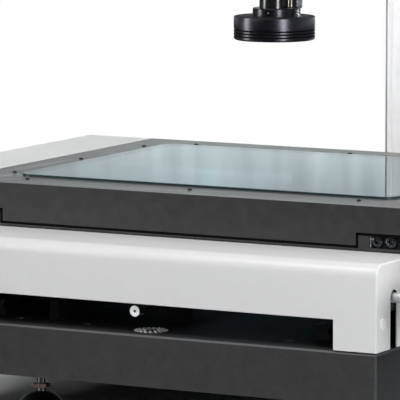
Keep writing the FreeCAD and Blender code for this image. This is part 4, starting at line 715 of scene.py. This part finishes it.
def turned(name, profile, place=(0, 0, 0), axis=(0, 0, 1), sides=96):
    # Spins a profile of radius and height, in mm, about an axis. A third value in a row
    # makes that ring a polygon with so many sides, its radius then to the flats, and a
    # fourth turns the polygon by so many degrees
    shape = bmesh.new()
    tilt = Vector((0, 0, 1)).rotation_difference(Vector(axis)).to_matrix()
    loops = []
    for radius, height, *corners in profile:
        ring = []
        for k in range(sides if radius else 1):
            angle = math.tau * k / sides
            reach = radius
            if corners:
                sector = math.tau / corners[0]
                start = math.radians(corners[1]) if len(corners) > 1 else 0
                reach = radius / math.cos((angle - start) % sector - sector / 2)
            at = Vector((reach * math.cos(angle), reach * math.sin(angle), height))
            ring.append(shape.verts.new((tilt @ at + Vector(place)) * mm))
        loops.append(ring)
    for low, high in zip(loops, loops[1:]):
        for k in range(sides):
            corners = [low[k % len(low)], low[(k + 1) % len(low)],
                       high[(k + 1) % len(high)], high[k % len(high)]]
            corners = list(dict.fromkeys(corners))
            if len(corners) > 2:
                shape.faces.new(corners)
    return meshPiece(name, shape)


def blocks(name, boxes, edgeMm, place=(0, 0, 0), tilt=Matrix.Identity(3)):
    # Small blocks with broken edges, each from its lowest and highest corner in mm
    shape = bmesh.new()
    for low, high in boxes:
        low, high = Vector(low), Vector(high)
        made = bmesh.ops.create_cube(shape, size=1.0)["verts"]
        for vert in made:
            at = Vector([(c + 0.5) * (b - a) + a for c, a, b in zip(vert.co, low, high)])
            vert.co = (tilt @ at + Vector(place)) * mm
        edges = list({edge for vert in made for edge in vert.link_edges})
        if edgeMm:
            bmesh.ops.bevel(shape, geom=edges, offset=edgeMm * mm, segments=1, affect="EDGES")
    return meshPiece(name, shape)


def joined(name, *pieces):
    # One plain mesh from several, with their finishes
    whole = bmesh.new()
    finishList = []
    for piece in pieces:
        piece.data.update()
        offset = len(finishList)
        before = len(whole.faces)
        whole.from_mesh(piece.data)
        whole.faces.ensure_lookup_table()
        for face in whole.faces[before:]:
            face.material_index += offset
        finishList.extend(piece.data.materials)
    mesh = bpy.data.meshes.new(name)
    whole.to_mesh(mesh)
    whole.free()
    for finish in finishList:
        mesh.materials.append(finish)
    smoothByAngle(mesh)
    dropShapes(*pieces)
    return linked(name, mesh)


def coated(piece, finish):
    piece.data.materials.clear()
    piece.data.materials.append(finishes[finish])
    return piece


def islandBoxes(name):
    # The box of each separate solid in a CAD node, in mm
    shape = bmesh.new()
    shape.from_mesh(nodes[name].data)
    bmesh.ops.remove_doubles(shape, verts=shape.verts, dist=weld)
    left = set(shape.verts)
    found = []
    while left:
        reached = [left.pop()]
        island = []
        while reached:
            vert = reached.pop()
            island.append(vert.co / mm)
            for edge in vert.link_edges:
                other = edge.other_vert(vert)
                if other in left:
                    left.remove(other)
                    reached.append(other)
        found.append((Vector([min(v[i] for v in island) for i in range(3)]),
                      Vector([max(v[i] for v in island) for i in range(3)])))
    shape.free()
    return sorted(found, key=lambda box: tuple(round(c) for c in box[0]))


def centres(name, z=None, y=None):
    # The middle of each solid in a node, with z or y moved to a value that is given
    spots = []
    for low, high in islandBoxes(name):
        at = (low + high) / 2
        if z is not None:
            at.z = z
        if y is not None:
            at.y = y
        spots.append(at)
    return spots


lensX, lensY = ((a + b) / 2 / mm for a, b in list(zip(*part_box("ring_light_housing")))[:2])
ringLow, ringTop = (corner[2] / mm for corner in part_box("ring_light_housing"))
ringRim = (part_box("ring_light_housing")[1][0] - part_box("ring_light_housing")[0][0]) / 2 / mm

# ring light: a turned black housing with three grooves, and LEDs behind an opal cone
ringLight = {
    "bore": 18.0,
    "lip": 4.0,
    "foot": 1.2,             # chamfer at the bottom rim
    "crown": 0.8,
    "grooveRise": (2.9, 5.45, 8.0),
    "grooveWidth": 1.2,
    "grooveDepth": 0.9,
    "roof": 5.0,
    "noseRadius": 12.8,
    "ledCount": 48,
    "ledCircle": 26.0,
    "ledRadius": 1.5,
}


def makeRingLight():
    look = ringLight
    profile = [(look["bore"], ringLow + look["lip"]), (look["bore"] + look["lip"], ringLow),
               (ringRim - look["foot"], ringLow), (ringRim, ringLow + look["foot"])]
    for rise in look["grooveRise"]:
        low = ringLow + rise
        high = low + look["grooveWidth"]
        deep = ringRim - look["grooveDepth"]
        profile += [(ringRim, low), (deep, low + 0.25), (deep, high - 0.25), (ringRim, high)]
    inner = ringTop - look["roof"]
    profile += [(ringRim, ringTop - look["crown"]), (ringRim - look["crown"] * 0.3, ringTop - 0.2),
                (ringRim - look["crown"], ringTop), (look["noseRadius"], ringTop),
                (look["noseRadius"], inner), (look["bore"], inner), profile[0]]
    housing = turned("ringHousing", profile, (lensX, lensY, 0), sides=160)
    coated(housing, "turnedRing")

    def shadedGrooveFloor(at, way):
        out = (at - Vector((lensX, lensY, at.z))).length
        level = any(rise + 0.1 < at.z - ringLow < rise + look["grooveWidth"] - 0.1
                    for rise in look["grooveRise"])
        return level and look["bore"] + 5 < out < ringRim - look["grooveDepth"] * 0.6

    # the groove floors take the near-black finish as painted shade
    secondFinish(housing, "lipRubber", shadedGrooveFloor)
    secondFinish(housing, "mattAnodised", lambda at, way: way.z > 0.7)
    finishPiece(housing, "z_head", None, "black_anodised", "ring_light_housing")
    led = turned("led", [(look["ledRadius"], 0.2), (look["ledRadius"], -0.4),
                         (look["ledRadius"] * 0.7, -1.0), (0, -1.3)], sides=10)
    leds = grown("ringLeds", "ring", "whitePlastic",
                 {"Shape": led, "Count": look["ledCount"], "Radius": look["ledCircle"] * mm,
                  "Centre": Vector((lensX, lensY, ringLow + 1.1)) * mm})
    dropShapes(led)
    finishPiece(leds, "z_head", None, "white_plastic")
    print("ring light ready")


makeRingLight()


# collar that clamps the ring light to the nose, with its set screw
collar = {"rim": 18.5, "edge": 0.6, "screwTurn": 11, "mouth": 2.2, "screwRadius": 0.75,
          "socketFlats": 0.3}


def makeCollar():
    look = collar
    low, top = ringTop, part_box("ring_light_collar")[1][2] / mm
    nose = ringLight["noseRadius"]
    profile = [(nose, low), (look["rim"], low), (look["rim"], top - look["edge"]),
               (look["rim"] - look["edge"], top), (nose, top), (nose, low)]
    ring = coated(turned("collarRing", profile, (lensX, lensY, 0), sides=128), "turnedRing")
    turn = math.radians(look["screwTurn"])
    out = Vector((math.sin(turn), -math.cos(turn), 0))
    front = Vector((lensX, lensY, (low + top) / 2)) + out * look["rim"]
    # a near-black rim and disc round the set screw are painted shade for its hole
    mouth = coated(turned("screwMouth", [
        (look["mouth"], -1.0), (look["mouth"], 0.22), (look["mouth"] - 0.35, 0.22),
        (look["mouth"] - 0.5, 0.06), (0, 0.06)], front, out, 32), "lipRubber")
    screw = coated(turned("setScrew", [
        (0, 0.07), (look["socketFlats"], 0.07, 6), (look["socketFlats"], 0.18, 6),
        (look["screwRadius"], 0.18), (look["screwRadius"], 0.0)], front, out, 36), "nickelGrey")
    finishPiece(joined("nose.collar", ring, mouth, screw), "z_head", None, "black_anodised",
                "ring_light_collar")


makeCollar()


# lamp connector: a threaded post, a grey body and a sprung clip beside it
connector = {"postRadius": 2.1, "postShift": 1.2, "grip": (0.0, 4.7), "outerClip": (-7.0, -6.5),
             "innerClip": (-4.8, -3.9), "core": (-6.5, 0.3), "rise": 8.0, "facing": 28.2,
             "threadTurns": 5.0, "threadTall": 5.5, "threadRidge": 0.22, "ribs": 9, "ribStep": 1.5}


def makeConnector():
    look = connector
    low, high = boxMm("ring_light_connector")
    middle = (low + high) / 2
    base = (middle.x, middle.y, 0)
    seat = low.z + look["rise"]
    tilt = Matrix.Rotation(math.radians(look["facing"]), 3, "Z")
    stand = tilt @ Vector((look["postShift"], 0, 0)) + Vector(base)
    post = coated(turned("post", [(0, low.z), (look["postRadius"] + 0.4, low.z),
                                  (look["postRadius"] + 0.4, low.z + 0.9),
                                  (look["postRadius"], low.z + 1.2), (look["postRadius"], seat),
                                  (0, seat)], stand, sides=40), "nickelGrey")
    thread = grown("postThread", "thread", "zincSteel",
                   {"Radius": look["postRadius"] * mm, "Turns": look["threadTurns"],
                    "Height": look["threadTall"] * mm, "Ridge": look["threadRidge"] * mm}, [(stand.x, stand.y, low.z + 1.6)])
    left, right = look["grip"]
    body = coated(blocks("grip", [((left, -3.2, seat), (right, 3.2, high.z - 0.3)),
                                  ((left + 0.8, -2.4, seat - 0.8), (right - 0.8, 2.4, seat))],
                         0.5, base, tilt), "nickelGrey")
    clip = coated(blocks("clip", [((start, -2.6, seat + 0.4), (end, 2.6, high.z))
                                  for start, end in (look["outerClip"], look["innerClip"])],
                         0.15, base, tilt), "brassConnector")
    start, end = look["core"]
    core = coated(blocks("core", [((start, -1.6, seat - 0.6), (end, 1.6, high.z - 0.8)),
                                  ((start + 0.2, -2.2, seat - 0.6), (right - 0.6, 2.2, seat))],
                         0.2, base, tilt), "darkPrimer")
    rib = blocks("rib", [((left - 0.1, -3.5, 0), (right + 0.1, 3.5, 0.6))], 0.15, (0, 0, 0), tilt)
    ribs = grown("gripRibs", "row", "nickelGrey",
                 {"Shape": rib, "Count": look["ribs"], "Step": Vector((0, 0, look["ribStep"])) * mm,
                  "Centre": Vector((middle.x, middle.y, seat + 1.6)) * mm})
    dropShapes(rib)
    finishPiece(joined("ringLight.connector", post, thread, body, clip, core, ribs), "z_head", None,
                "brass_connector", "ring_light_connector")


makeConnector()


# levelling feet: threaded stud with painted highlight lines, brown lock nut
foot = {"ribs": 60, "ribTurn": 1.8, "ribWide": 7, "thread": 0.09, "pitch": 1.25,
        "threadRadius": 3.7, "nutFlats": 6.8, "bore": 4.0, "chamfer": 0.4, "nutTurn": 30}


def makeFeet():
    look = foot
    studs, spots, nuts = [], [], []

    def paintedHighlightLine(at, way):
        # painted highlight: bright lines up the stud, one in each sector of ribs degrees
        turn = math.degrees(math.atan2(way.y, way.x)) - look["ribTurn"]
        return abs(way.z) < 0.5 and abs(turn % look["ribs"] - look["ribs"] / 2) < look["ribWide"]

    for low, high in islandBoxes("foot_studs"):
        at = (low + high) / 2
        radius = (high.x - low.x) / 2 - look["thread"] * 0.6
        stud = coated(turned("stud", [
            (0, low.z), (radius, low.z), (radius, low.z + 6), (radius - 0.3, low.z + 6.4),
            (radius - 0.3, high.z - 1), (radius - 1, high.z), (0, high.z)],
            (at.x, at.y, 0), sides=90), "oiledSteel")
        # the satin steel lines are painted highlight
        secondFinish(stud, "satinSteel", paintedHighlightLine)
        studs.append(stud)
        spots.append((at.x, at.y, low.z + 6.6))
    tall = (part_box("foot_studs")[1][2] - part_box("foot_studs")[0][2]) / mm - 8
    wound = grown("studThread", "thread", "oiledSteel",
                  {"Radius": look["threadRadius"] * mm, "Turns": tall / look["pitch"], "Height": tall * mm,
                   "Ridge": look["thread"] * mm}, spots)
    finishPiece(joined("feet.studs", *studs, wound),
                "root", None, "ground_steel", "foot_studs")
    for low, high in islandBoxes("foot_lock_nuts"):
        at = (low + high) / 2
        flats, drop, bore = look["nutFlats"], look["chamfer"] * 0.5, look["bore"]
        nuts.append(coated(turned("nut", [
            (bore, low.z), (flats - 0.4, low.z), (flats, low.z + drop * 0.5, 6, look["nutTurn"]),
            (flats, high.z - drop, 6, look["nutTurn"]), (flats - 0.4, high.z),
            (bore + 0.5, high.z), (bore, high.z - 0.5), (bore, low.z)],
            (at.x, at.y, 0), sides=72), "brownNut"))
    finishPiece(joined("feet.nuts", *nuts), "root", None, "ground_steel", "foot_lock_nuts")
    print("feet ready")


makeFeet()


# screws that hold the stage frame down: a small black button head on a washer that fills
# the counterbore
frameScrew = {"washer": 4.7, "edge": 0.15, "head": 2.0, "high": 0.9, "socket": 1.0}


def socketScrew(name, head, crown, socket, deep, height, axis=(0, 0, 1), sides=48):
    # A socket head that looks along its axis; its top is at zero
    return turned(name, [
        (0, -deep), (socket, -deep, 6), (socket, -0.25, 6), (socket + 0.35, 0),
        (head - crown, 0), (head - crown * 0.3, -crown * 0.3), (head, -crown), (head, -height),
        (0, -height)], (0, 0, 0), axis, sides)


def makeFrameScrews():
    look = frameScrew
    low, high = (corner[2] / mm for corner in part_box("frame_screws"))
    tall = high - low
    washer = coated(turned("washer", [
        (0, -tall), (look["washer"], -tall), (look["washer"], -look["edge"]),
        (look["washer"] - look["edge"], 0), (0, 0)], sides=48), "groundAnodised")
    head, top = look["head"], look["high"]
    button = coated(turned("button", [
        (0, top - 0.8), (look["socket"], top - 0.8, 6), (look["socket"], top, 6),
        (head * 0.62, top), (head * 0.86, top - 0.3), (head, top - 0.75), (head, 0), (0, 0)],
        sides=36), "blackScrew")
    screw = joined("screwShape", washer, button)
    made = grownAs("frameScrews", "spots", {"Shape": screw}, centres("frame_screws", z=high + 0.25))
    dropShapes(screw)
    finishPiece(made, "x_stage", None, "black_screw", "frame_screws")


makeFrameScrews()


# near-black strips in the gap between the stage frame and the strip, also round the notches: painted shade
# for the dark gap line
gapShade = {"proud": 0.15, "down": 0.75, "back": 1.6}


def cornersOf(name):
    return [vert.co / mm for vert in nodes[name].data.vertices]


def makeGapShade():
    look = gapShade
    low, high = boxMm("stage_front_strip")
    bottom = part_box("stage_frame")[0][2] / mm
    front = [at for at in cornersOf("stage_frame") if at.y < low.y + 0.1]
    notch = sorted({round(at.z, 2) for at in front if at.z > bottom + 0.1})[0]
    flat = [at.x for at in front if at.z < bottom + 0.1]
    left, right = min(flat), max(flat)
    posts = [at.x for at in cornersOf("stage_front_strip") if at.z > high.z - 0.1]
    leftPost = max(x for x in posts if x < 0)
    rightPost = min(x for x in posts if x > 0)
    ledge = min(at.z for at in cornersOf("stage_front_strip") if at.z > low.z + 0.1)
    front, back, down = low.y - look["proud"], low.y + look["back"], look["down"]
    rails = [((leftPost - down, front, ledge - down), (rightPost + down, back, bottom - 0.05)),
             ((leftPost - down, front, ledge), (left - 0.05, back, notch - 0.05)),
             ((right + 0.05, front, ledge), (rightPost + down, back, notch - 0.05)),
             ((low.x, front, high.z - down), (left - 0.05, back, notch - 0.05)),
             ((right + 0.05, front, high.z - down), (high.x, back, notch - 0.05))]
    # the strips are painted shade, in the near-black finish
    finishPiece(blocks("stage.gapLip", rails, 0.1), "x_stage", finishes["lipRubber"],
                "black_plastic")


makeGapShade()


# knurled cap screws of the drive rod blocks
capScrew = {"knurl": 34, "knurlWide": 0.62, "knurlDeep": 0.45, "socket": 2.5, "socketDeep": 1.8}


def makeCapScrews():
    look = capScrew
    low, high = boxMm("rod_block_screws")
    heads = islandBoxes("rod_block_screws")
    head = (heads[0][1].x - heads[0][0].x) / 2
    height = high.y - low.y
    plain = coated(socketScrew("capHead", head - look["knurlDeep"] * 0.6, 0.5, look["socket"],
                               look["socketDeep"], height, (0, -1, 0), 60), "sparkBlack")
    ridge = blocks("ridge", [((-look["knurlDeep"], -look["knurlWide"] / 2, -height + 0.2),
                              (look["knurlDeep"] * 0.4, look["knurlWide"] / 2, -0.55))], 0.12)
    knurl = grown("capKnurl", "ring", "blackScrew",
                  {"Shape": ridge, "Count": look["knurl"],
                   "Radius": (head - look["knurlDeep"] * 0.5) * mm,
                   "Turn": (math.radians(90), 0, 0)})
    screw = joined("capShape", plain, knurl)
    made = grownAs("rodBlocks.screws", "spots", {"Shape": screw},
                   centres("rod_block_screws", y=low.y))
    dropShapes(ridge, screw)
    finishPiece(made, "x_stage", None, "black_screw", "rod_block_screws")


makeCapScrews()


# steel insert in the granite, threaded in the middle, its face cut into small points that
# grip a fixture; the points are drawn coarser than the real ones
insert = {"bore": 4.0, "lip": 0.6, "rings": (5.8, 8.2, 10.6, 12.8), "pitch": 4.2,
          "pointWide": 1.2, "pointHigh": 0.6, "thread": 0.5, "turns": 4.0, "threadTall": 5}


def makeInsert():
    look = insert
    low, high = boxMm("granite_insert")
    at = (low + high) / 2
    rim = (high.x - low.x) / 2
    # the black bush between the near-white points is painted shade, the points partly painted highlight
    bush = coated(turned("bush", [
        (0, high.z - 6), (look["bore"], high.z - 6), (look["bore"], high.z - 0.6),
        (look["bore"] + 0.6, high.z), (rim - look["lip"], high.z), (rim, high.z - 0.3),
        (rim, low.z), (0, low.z)], (at.x, at.y, 0), sides=88), "blackScrew")
    wide = look["pointWide"]
    point = turned("point", [(wide, -0.1, 4), (wide * 0.2, look["pointHigh"], 4),
                             (0, look["pointHigh"])], sides=4)
    rings = []
    for radius in look["rings"]:
        rings.append(grown("points", "ring", "facedSteel",
                           {"Shape": point, "Count": round(math.tau * radius / look["pitch"]),
                            "Radius": radius * mm, "Centre": Vector((at.x, at.y, high.z)) * mm,
                            "Turn": (0, 0, radius)}))
    thread = grown("insertThread", "thread", "zincSteel",
                   {"Radius": look["bore"] * mm, "Turns": look["turns"],
                    "Height": look["threadTall"] * mm,
                    "Ridge": look["thread"] * mm}, [(at.x, at.y, high.z - 5.5)])
    dropShapes(point)
    finishPiece(joined("granite.insert", bush, *rings, thread), "root", None, "ground_steel",
                "granite_insert")


makeInsert()


# polished steel guide at the inner end of each rod block
guide = {"radius": 0.55, "gap": 0.7, "foot": 0.4, "tall": 9.8, "chamfer": 0.2}


def makeGuides():
    radius, chamfer = guide["radius"], guide["chamfer"]
    screws = islandBoxes("rod_block_screws")
    rise = boxMm("x_rod_blocks")[0].z + guide["foot"]
    top = rise + guide["tall"]
    made = []
    for edge, side in ((screws[1][1].x, -1), (screws[2][0].x, 1)):
        x = edge - side * (radius + 0.1)
        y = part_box("stage_front_strip")[0][1] / mm + radius + guide["gap"]
        made.append(coated(turned("guide", [
            (0, rise), (radius - chamfer, rise), (radius, rise + chamfer), (radius, top - chamfer),
            (radius - chamfer, top), (0, top)], (x, y, 0), sides=32), "nickelGrey"))
    finishPiece(joined("rodBlocks.guides", *made), "x_stage", None, "ground_steel")


makeGuides()
print("front details ready")


# zoom ring: straight knurl, and white marks on the barrel above it
zoomRing = {"ridges": 72, "ridgeWide": 1.1, "ridgeDeep": 0.5, "marks": 25, "markWide": 0.35,
            "markLong": 3.0}


def makeZoomRing():
    look = zoomRing
    low, high = boxMm("zoom_ring")
    rim = (high.x - low.x) / 2
    tall = high.z - low.z
    ridge = blocks("ridge", [((-look["ridgeDeep"], -look["ridgeWide"] / 2, 2.0),
                              (look["ridgeDeep"], look["ridgeWide"] / 2, tall - 2.0))], 0.2)
    knurl = grown("zoom.knurl", "ring", "turnedRing",
                  {"Shape": ridge, "Count": look["ridges"], "Radius": rim * mm,
                   "Centre": Vector((lensX, lensY, low.z)) * mm})
    mark = blocks("mark", [((-0.2, -look["markWide"] / 2, 0), (0.06, look["markWide"] / 2,
                                                              look["markLong"]))], 0)
    barrel = (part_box("zoom_lens_barrel")[1][0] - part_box("zoom_lens_barrel")[0][0]) / 2 / mm
    marks = grown("zoom.marks", "ring", "whiteFill",
                  {"Shape": mark, "Count": look["marks"], "Radius": barrel * mm,
                   "Centre": Vector((lensX, lensY, high.z + 2.5)) * mm})
    index = coated(blocks("zoom.index", [((-0.4, -rim - 0.06, tall - 1.9), (0.4, -rim + 0.4, tall - 0.4))],
                          0, (lensX, lensY, low.z)), "whiteFill")
    dropShapes(ridge, mark)
    finishPiece(knurl, bodyOf["zoom_ring"], None, "black_lens")
    finishPiece(index, bodyOf["zoom_ring"], None, "black_lens")
    finishPiece(marks, "z_head", None, "black_lens")


makeZoomRing()


# handwheels: a bright hub cap with a hex socket
hub = {"radius": 7.5, "edge": 1.2, "socket": 2.5, "deep": 2.5, "proud": 1.6}


def makeHubs():
    look = hub
    for name, axis in (("y_handwheel", (1, 0, 0)), ("x_handwheel", (0, -1, 0)),
                       ("z_handwheel", (1, 0, 0))):
        low, high = boxMm(name)
        face = (low + high) / 2
        way = Vector(axis)
        face += way * ((high - low).dot(Vector([abs(c) for c in axis])) / 2)
        cap = turned(name + ".hub", [
            (0, -look["deep"]), (look["socket"], -look["deep"], 6), (look["socket"], -0.3, 6),
            (look["socket"] + 0.4, 0), (look["radius"] - look["edge"], 0),
            (look["radius"] - 0.3, -look["edge"] * 0.4), (look["radius"], -look["edge"]),
            (look["radius"], -look["proud"] - 1.0), (0, -look["proud"] - 1.0)],
            face - way * 0.4, axis, 48)
        finishPiece(cap, bodyOf[name], finishes["satinSteel"], "chromed_steel")


makeHubs()


# camera: cooling fins round the case, four corner screws and a threaded cable socket
cameraLook = {"fins": 9, "finPitch": 4.2, "finThick": 1.4, "finProud": 0.8, "screw": 1.6,
              "corner": 17.5, "threadRadius": 7, "turns": 6.0, "threadTall": 6, "threadRidge": 0.3}


def makeCameraTrim():
    look = cameraLook
    low, high = boxMm("camera")
    at = (low + high) / 2
    half = (high.x - low.x) / 2
    out, inner = half + look["finProud"], half - 0.6
    bars = [((-out, -out, 0), (out, -inner, look["finThick"])),
            ((-out, inner, 0), (out, out, look["finThick"])),
            ((-out, -inner, 0), (-inner, inner, look["finThick"])),
            ((inner, -inner, 0), (out, inner, look["finThick"]))]
    fin = blocks("fin", bars, 0.25)
    fins = grown("camera.fins", "row", "blackAnodised",
                 {"Shape": fin, "Count": look["fins"],
                  "Step": Vector((0, 0, look["finPitch"])) * mm,
                  "Centre": Vector((at.x, at.y, low.z + 13)) * mm})
    top = high.z - 8
    screw = socketScrew("screw", look["screw"], 0.3, 0.7, 0.8, 1.4, sides=24)
    corner = look["corner"]
    screws = grown("camera.screws", "spots", "zincSteel", {"Shape": screw},
                   [(at.x + sx * corner, at.y + sy * corner, top + 0.8)
                    for sx in (-1, 1) for sy in (-1, 1)])
    thread = grown("camera.thread", "thread", "zincSteel",
                   {"Radius": look["threadRadius"] * mm, "Turns": look["turns"],
                    "Height": look["threadTall"] * mm, "Ridge": look["threadRidge"] * mm},
                   [(at.x, at.y, top + 1)])
    dropShapes(fin, screw)
    for piece in (fins, screws, thread):
        finishPiece(piece, "z_head", None, "black_anodised")


makeCameraTrim()


# end seals of the bearing blocks, drawn out from the blocks' own end faces
seals = {"thick": 1.8, "nodes": {"y_bearing_blocks": 1, "x_bearing_blocks": 0,
                                 "z_bearing_blocks": 2}}


def makeSeals():
    for name, along in seals["nodes"].items():
        shape = bmesh.new()
        shape.from_mesh(nodes[name].data)
        bmesh.ops.remove_doubles(shape, verts=shape.verts, dist=weld)
        sides = [face for face in shape.faces if abs(face.normal[along]) < 0.99]
        bmesh.ops.delete(shape, geom=sides, context="FACES")
        bmesh.ops.dissolve_limit(shape, angle_limit=0.01, verts=shape.verts, edges=shape.edges)
        ways = {face: face.normal.copy() for face in shape.faces}
        for face in list(shape.faces):
            grownOut = bmesh.ops.extrude_face_region(shape, geom=[face], use_keep_orig=True)
            for item in grownOut["geom"]:
                if isinstance(item, bmesh.types.BMVert):
                    item.co += ways[face] * seals["thick"] * mm
        mesh = bpy.data.meshes.new(name + ".seals")
        bmesh.ops.recalc_face_normals(shape, faces=shape.faces)
        shape.to_mesh(mesh)
        shape.free()
        smoothByAngle(mesh)
        finishPiece(linked(name + ".seals", mesh), bodyOf[name], finishes["darkPrimer"],
                    "black_plastic")


makeSeals()


# plugs over the rails' screws
railPlugs = {"radius": 3.4, "high": 0.25, "pitch": 60, "start": 20,
             "rails": {"y_rail_left": 1, "y_rail_right": 1, "x_rails": 0}}


def makeRailPlugs():
    look = railPlugs
    plug = turned("plug", [(0, look["high"]), (look["radius"] - 0.3, look["high"]),
                           (look["radius"], 0.05), (look["radius"], -0.4), (0, -0.4)], sides=24)
    made = {}
    for name, along in look["rails"].items():
        for low, high in islandBoxes(name):
            start = (low + high) / 2
            start.z = high.z
            start[along] = low[along] + look["start"]
            step = Vector((0, 0, 0))
            step[along] = look["pitch"]
            count = int((high[along] - start[along] - look["start"] / 2) // look["pitch"]) + 1
            made.setdefault(bodyOf[name], []).append(grown(
                "plugs", "row", "blackPlastic", {"Shape": plug, "Count": count,
                                                 "Step": step * mm, "Centre": start * mm}))
    dropShapes(plug)
    for body, rows in made.items():
        finishPiece(joined("rails.plugs." + body, *rows), body, None, "black_plastic")


makeRailPlugs()


# the scale's divisions, every fifth one longer
scaleMarks = {"pitch": 2.0, "thick": 0.35, "short": 4.0, "long": 7.5, "every": 5}


def makeScaleMarks():
    look = scaleMarks
    low, high = boxMm("y_scale")
    length = high.y - low.y - 10
    rows = []
    for reach, pitch in ((look["short"], look["pitch"]), (look["long"], look["pitch"] * look["every"])):
        mark = blocks("mark", [((-0.05, -look["thick"] / 2, -reach), (0.2, look["thick"] / 2, 0))], 0)
        rows.append(grown("marks", "row", "whiteFill",
                          {"Shape": mark, "Count": int(length // pitch) + 1,
                           "Step": Vector((0, pitch, 0)) * mm,
                           "Centre": Vector((low.x, low.y + 5, high.z - 1.5)) * mm}))
        dropShapes(mark)
    finishPiece(joined("scale.marks", *rows), "root", None, "silver_anodised")


makeScaleMarks()


# rounded cover profiles on the column's front corners, with painted grey shade where they turn to the side
beads = {"radius": 4.6, "edge": 1.0}


def makeBeads():
    look = beads
    low, high = boxMm("column_body")
    radius, edge = look["radius"], look["edge"]
    made = []
    for x, side in ((low.x, -1), (high.x, 1)):
        bead = coated(turned("bead", [
            (0, low.z), (radius + 0.6, low.z), (radius + 0.6, low.z + 2.0), (radius, low.z + 2.6),
            (radius, high.z - edge), (radius - edge, high.z), (0, high.z)],
            (x, low.y + radius + 0.02, 0), sides=72), "columnWhite")
        # faces turning to the side take painted grey shade
        secondFinish(bead, "edgeGrey", lambda at, way: way.x * side > 0.3)
        made.append(bead)
    finishPiece(joined("column.beads", *made), "root", None, "white_enamel")


makeBeads()


# threaded plugs in the granite's spare holes, flush with its top
sparePlugs = {"radius": 3.5, "high": 0.35, "spots": ((-123.7, -323.5), (-59.1, -325.6),
                                                     (126.0, -326.6))}


def makeSparePlugs():
    look = sparePlugs
    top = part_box("granite_base")[1][2] / mm
    radius, high = look["radius"], look["high"]
    plug = turned("sparePlug", [
        (0, high - 0.3), (1.2, high - 0.3, 6), (1.2, high, 6), (radius - 0.5, high),
        (radius, high - 0.25), (radius, -0.4), (0, -0.4)], sides=36)
    finishPiece(grown("granite.sparePlugs", "spots", "nickelGrey", {"Shape": plug},
                      [(x, y, top) for x, y in look["spots"]]), "root", None, "ground_steel")
    dropShapes(plug)


makeSparePlugs()


# socket screws of the flange, the column's cap, the arm and the rear panel
plainScrews = {"flange": 4.6, "small": 2.8, "panel": 2.2, "capInset": 14, "panelInset": 5}


def makePlainScrews():
    look = plainScrews
    big = socketScrew("big", look["flange"], 0.5, 2.4, 2.2, 7.0)
    finishPiece(grown("flange.screws", "spots", "blackScrew", {"Shape": big},
                      centres("column_screws", z=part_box("column_screws")[1][2] / mm)),
                "root", None, "black_screw", "column_screws")
    low, high = boxMm("column_cap")
    cap = socketScrew("cap", look["small"], 0.4, 1.4, 1.3, 2.0)
    inset = look["capInset"]
    capSpots = [(x, y, high.z - 0.05) for x in (low.x + inset, high.x - inset)
                for y in (low.y + inset, high.y - inset)]
    low, high = boxMm("rear_panel")
    panel = socketScrew("panel", look["panel"], 0.6, 1.1, 1.0, 1.6, (0, 1, 0))
    inset = look["panelInset"]
    panelSpots = [(x, high.y + 1.2, z) for x in (low.x + inset, high.x - inset)
                  for z in (low.z + inset, high.z - inset)]
    low, high = boxMm("z_arm")
    side = socketScrew("side", look["small"], 0.6, 1.4, 1.3, 2.2, (1, 0, 0))
    other = socketScrew("other", look["small"], 0.6, 1.4, 1.3, 2.2, (-1, 0, 0))
    armRows = [[(x, high.y - 7, z) for z in (low.z + 16, high.z - 16)]
               + [(x, high.y - 60, high.z - 7)] for x in (high.x + 0.6, low.x - 0.6)]
    for name, shape, spots, body in (("cap.screws", cap, capSpots, "root"),
                                     ("panel.screws", panel, panelSpots, "root"),
                                     ("arm.screws.right", side, armRows[0], "z_head"),
                                     ("arm.screws.left", other, armRows[1], "z_head")):
        finishPiece(grown(name, "spots", "blackScrew", {"Shape": shape}, spots), body, None,
                    "black_screw")
    dropShapes(big, cap, panel, side, other)


makePlainScrews()


# rocker marks: a bar for on and a ring for off
rockerMarks = {"bar": 4.0, "ring": 1.9, "line": 0.5, "lift": 4.4}


def makeRockerMarks():
    look = rockerMarks
    low, high = boxMm("power_switch_rocker")
    at = (low + high) / 2
    face = high.y
    bar = coated(blocks("bar", [((-look["line"] / 2, -0.5, -look["bar"] / 2),
                                 (look["line"] / 2, 0.05, look["bar"] / 2))], 0,
                        (at.x, face, at.z + look["lift"])), "whiteFill")
    inner, outer = look["ring"] - look["line"], look["ring"]
    ring = coated(turned("ringMark", [(inner, -0.5), (inner, 0.05), (outer, 0.05), (outer, -0.5)],
                         (at.x, face, at.z - look["lift"]), (0, 1, 0), 32), "whiteFill")
    finishPiece(joined("rocker.marks", bar, ring), bodyOf["power_switch_rocker"], None,
                "white_plastic")


makeRockerMarks()


# knurled rim of the light under the glass
contour = {"ridges": 60, "ridgeWide": 1.2, "ridgeDeep": 0.4}


def makeContourTrim():
    look = contour
    low, high = boxMm("contour_light_tube")
    ridge = blocks("ridge", [((-look["ridgeDeep"], -look["ridgeWide"] / 2, 5.0),
                              (look["ridgeDeep"], look["ridgeWide"] / 2, high.z - low.z - 4.0))], 0.15)
    knurl = grown("contour.knurl", "ring", "turnedRing",
                  {"Shape": ridge, "Count": look["ridges"],
                   "Radius": (high.x - low.x) / 2 * mm,
                   "Centre": Vector(((low.x + high.x) / 2, (low.y + high.y) / 2, low.z)) * mm})
    dropShapes(ridge)
    finishPiece(knurl, "root", None, "black_anodised")


makeContourTrim()
print("trim ready")


bpy.context.view_layer.update()
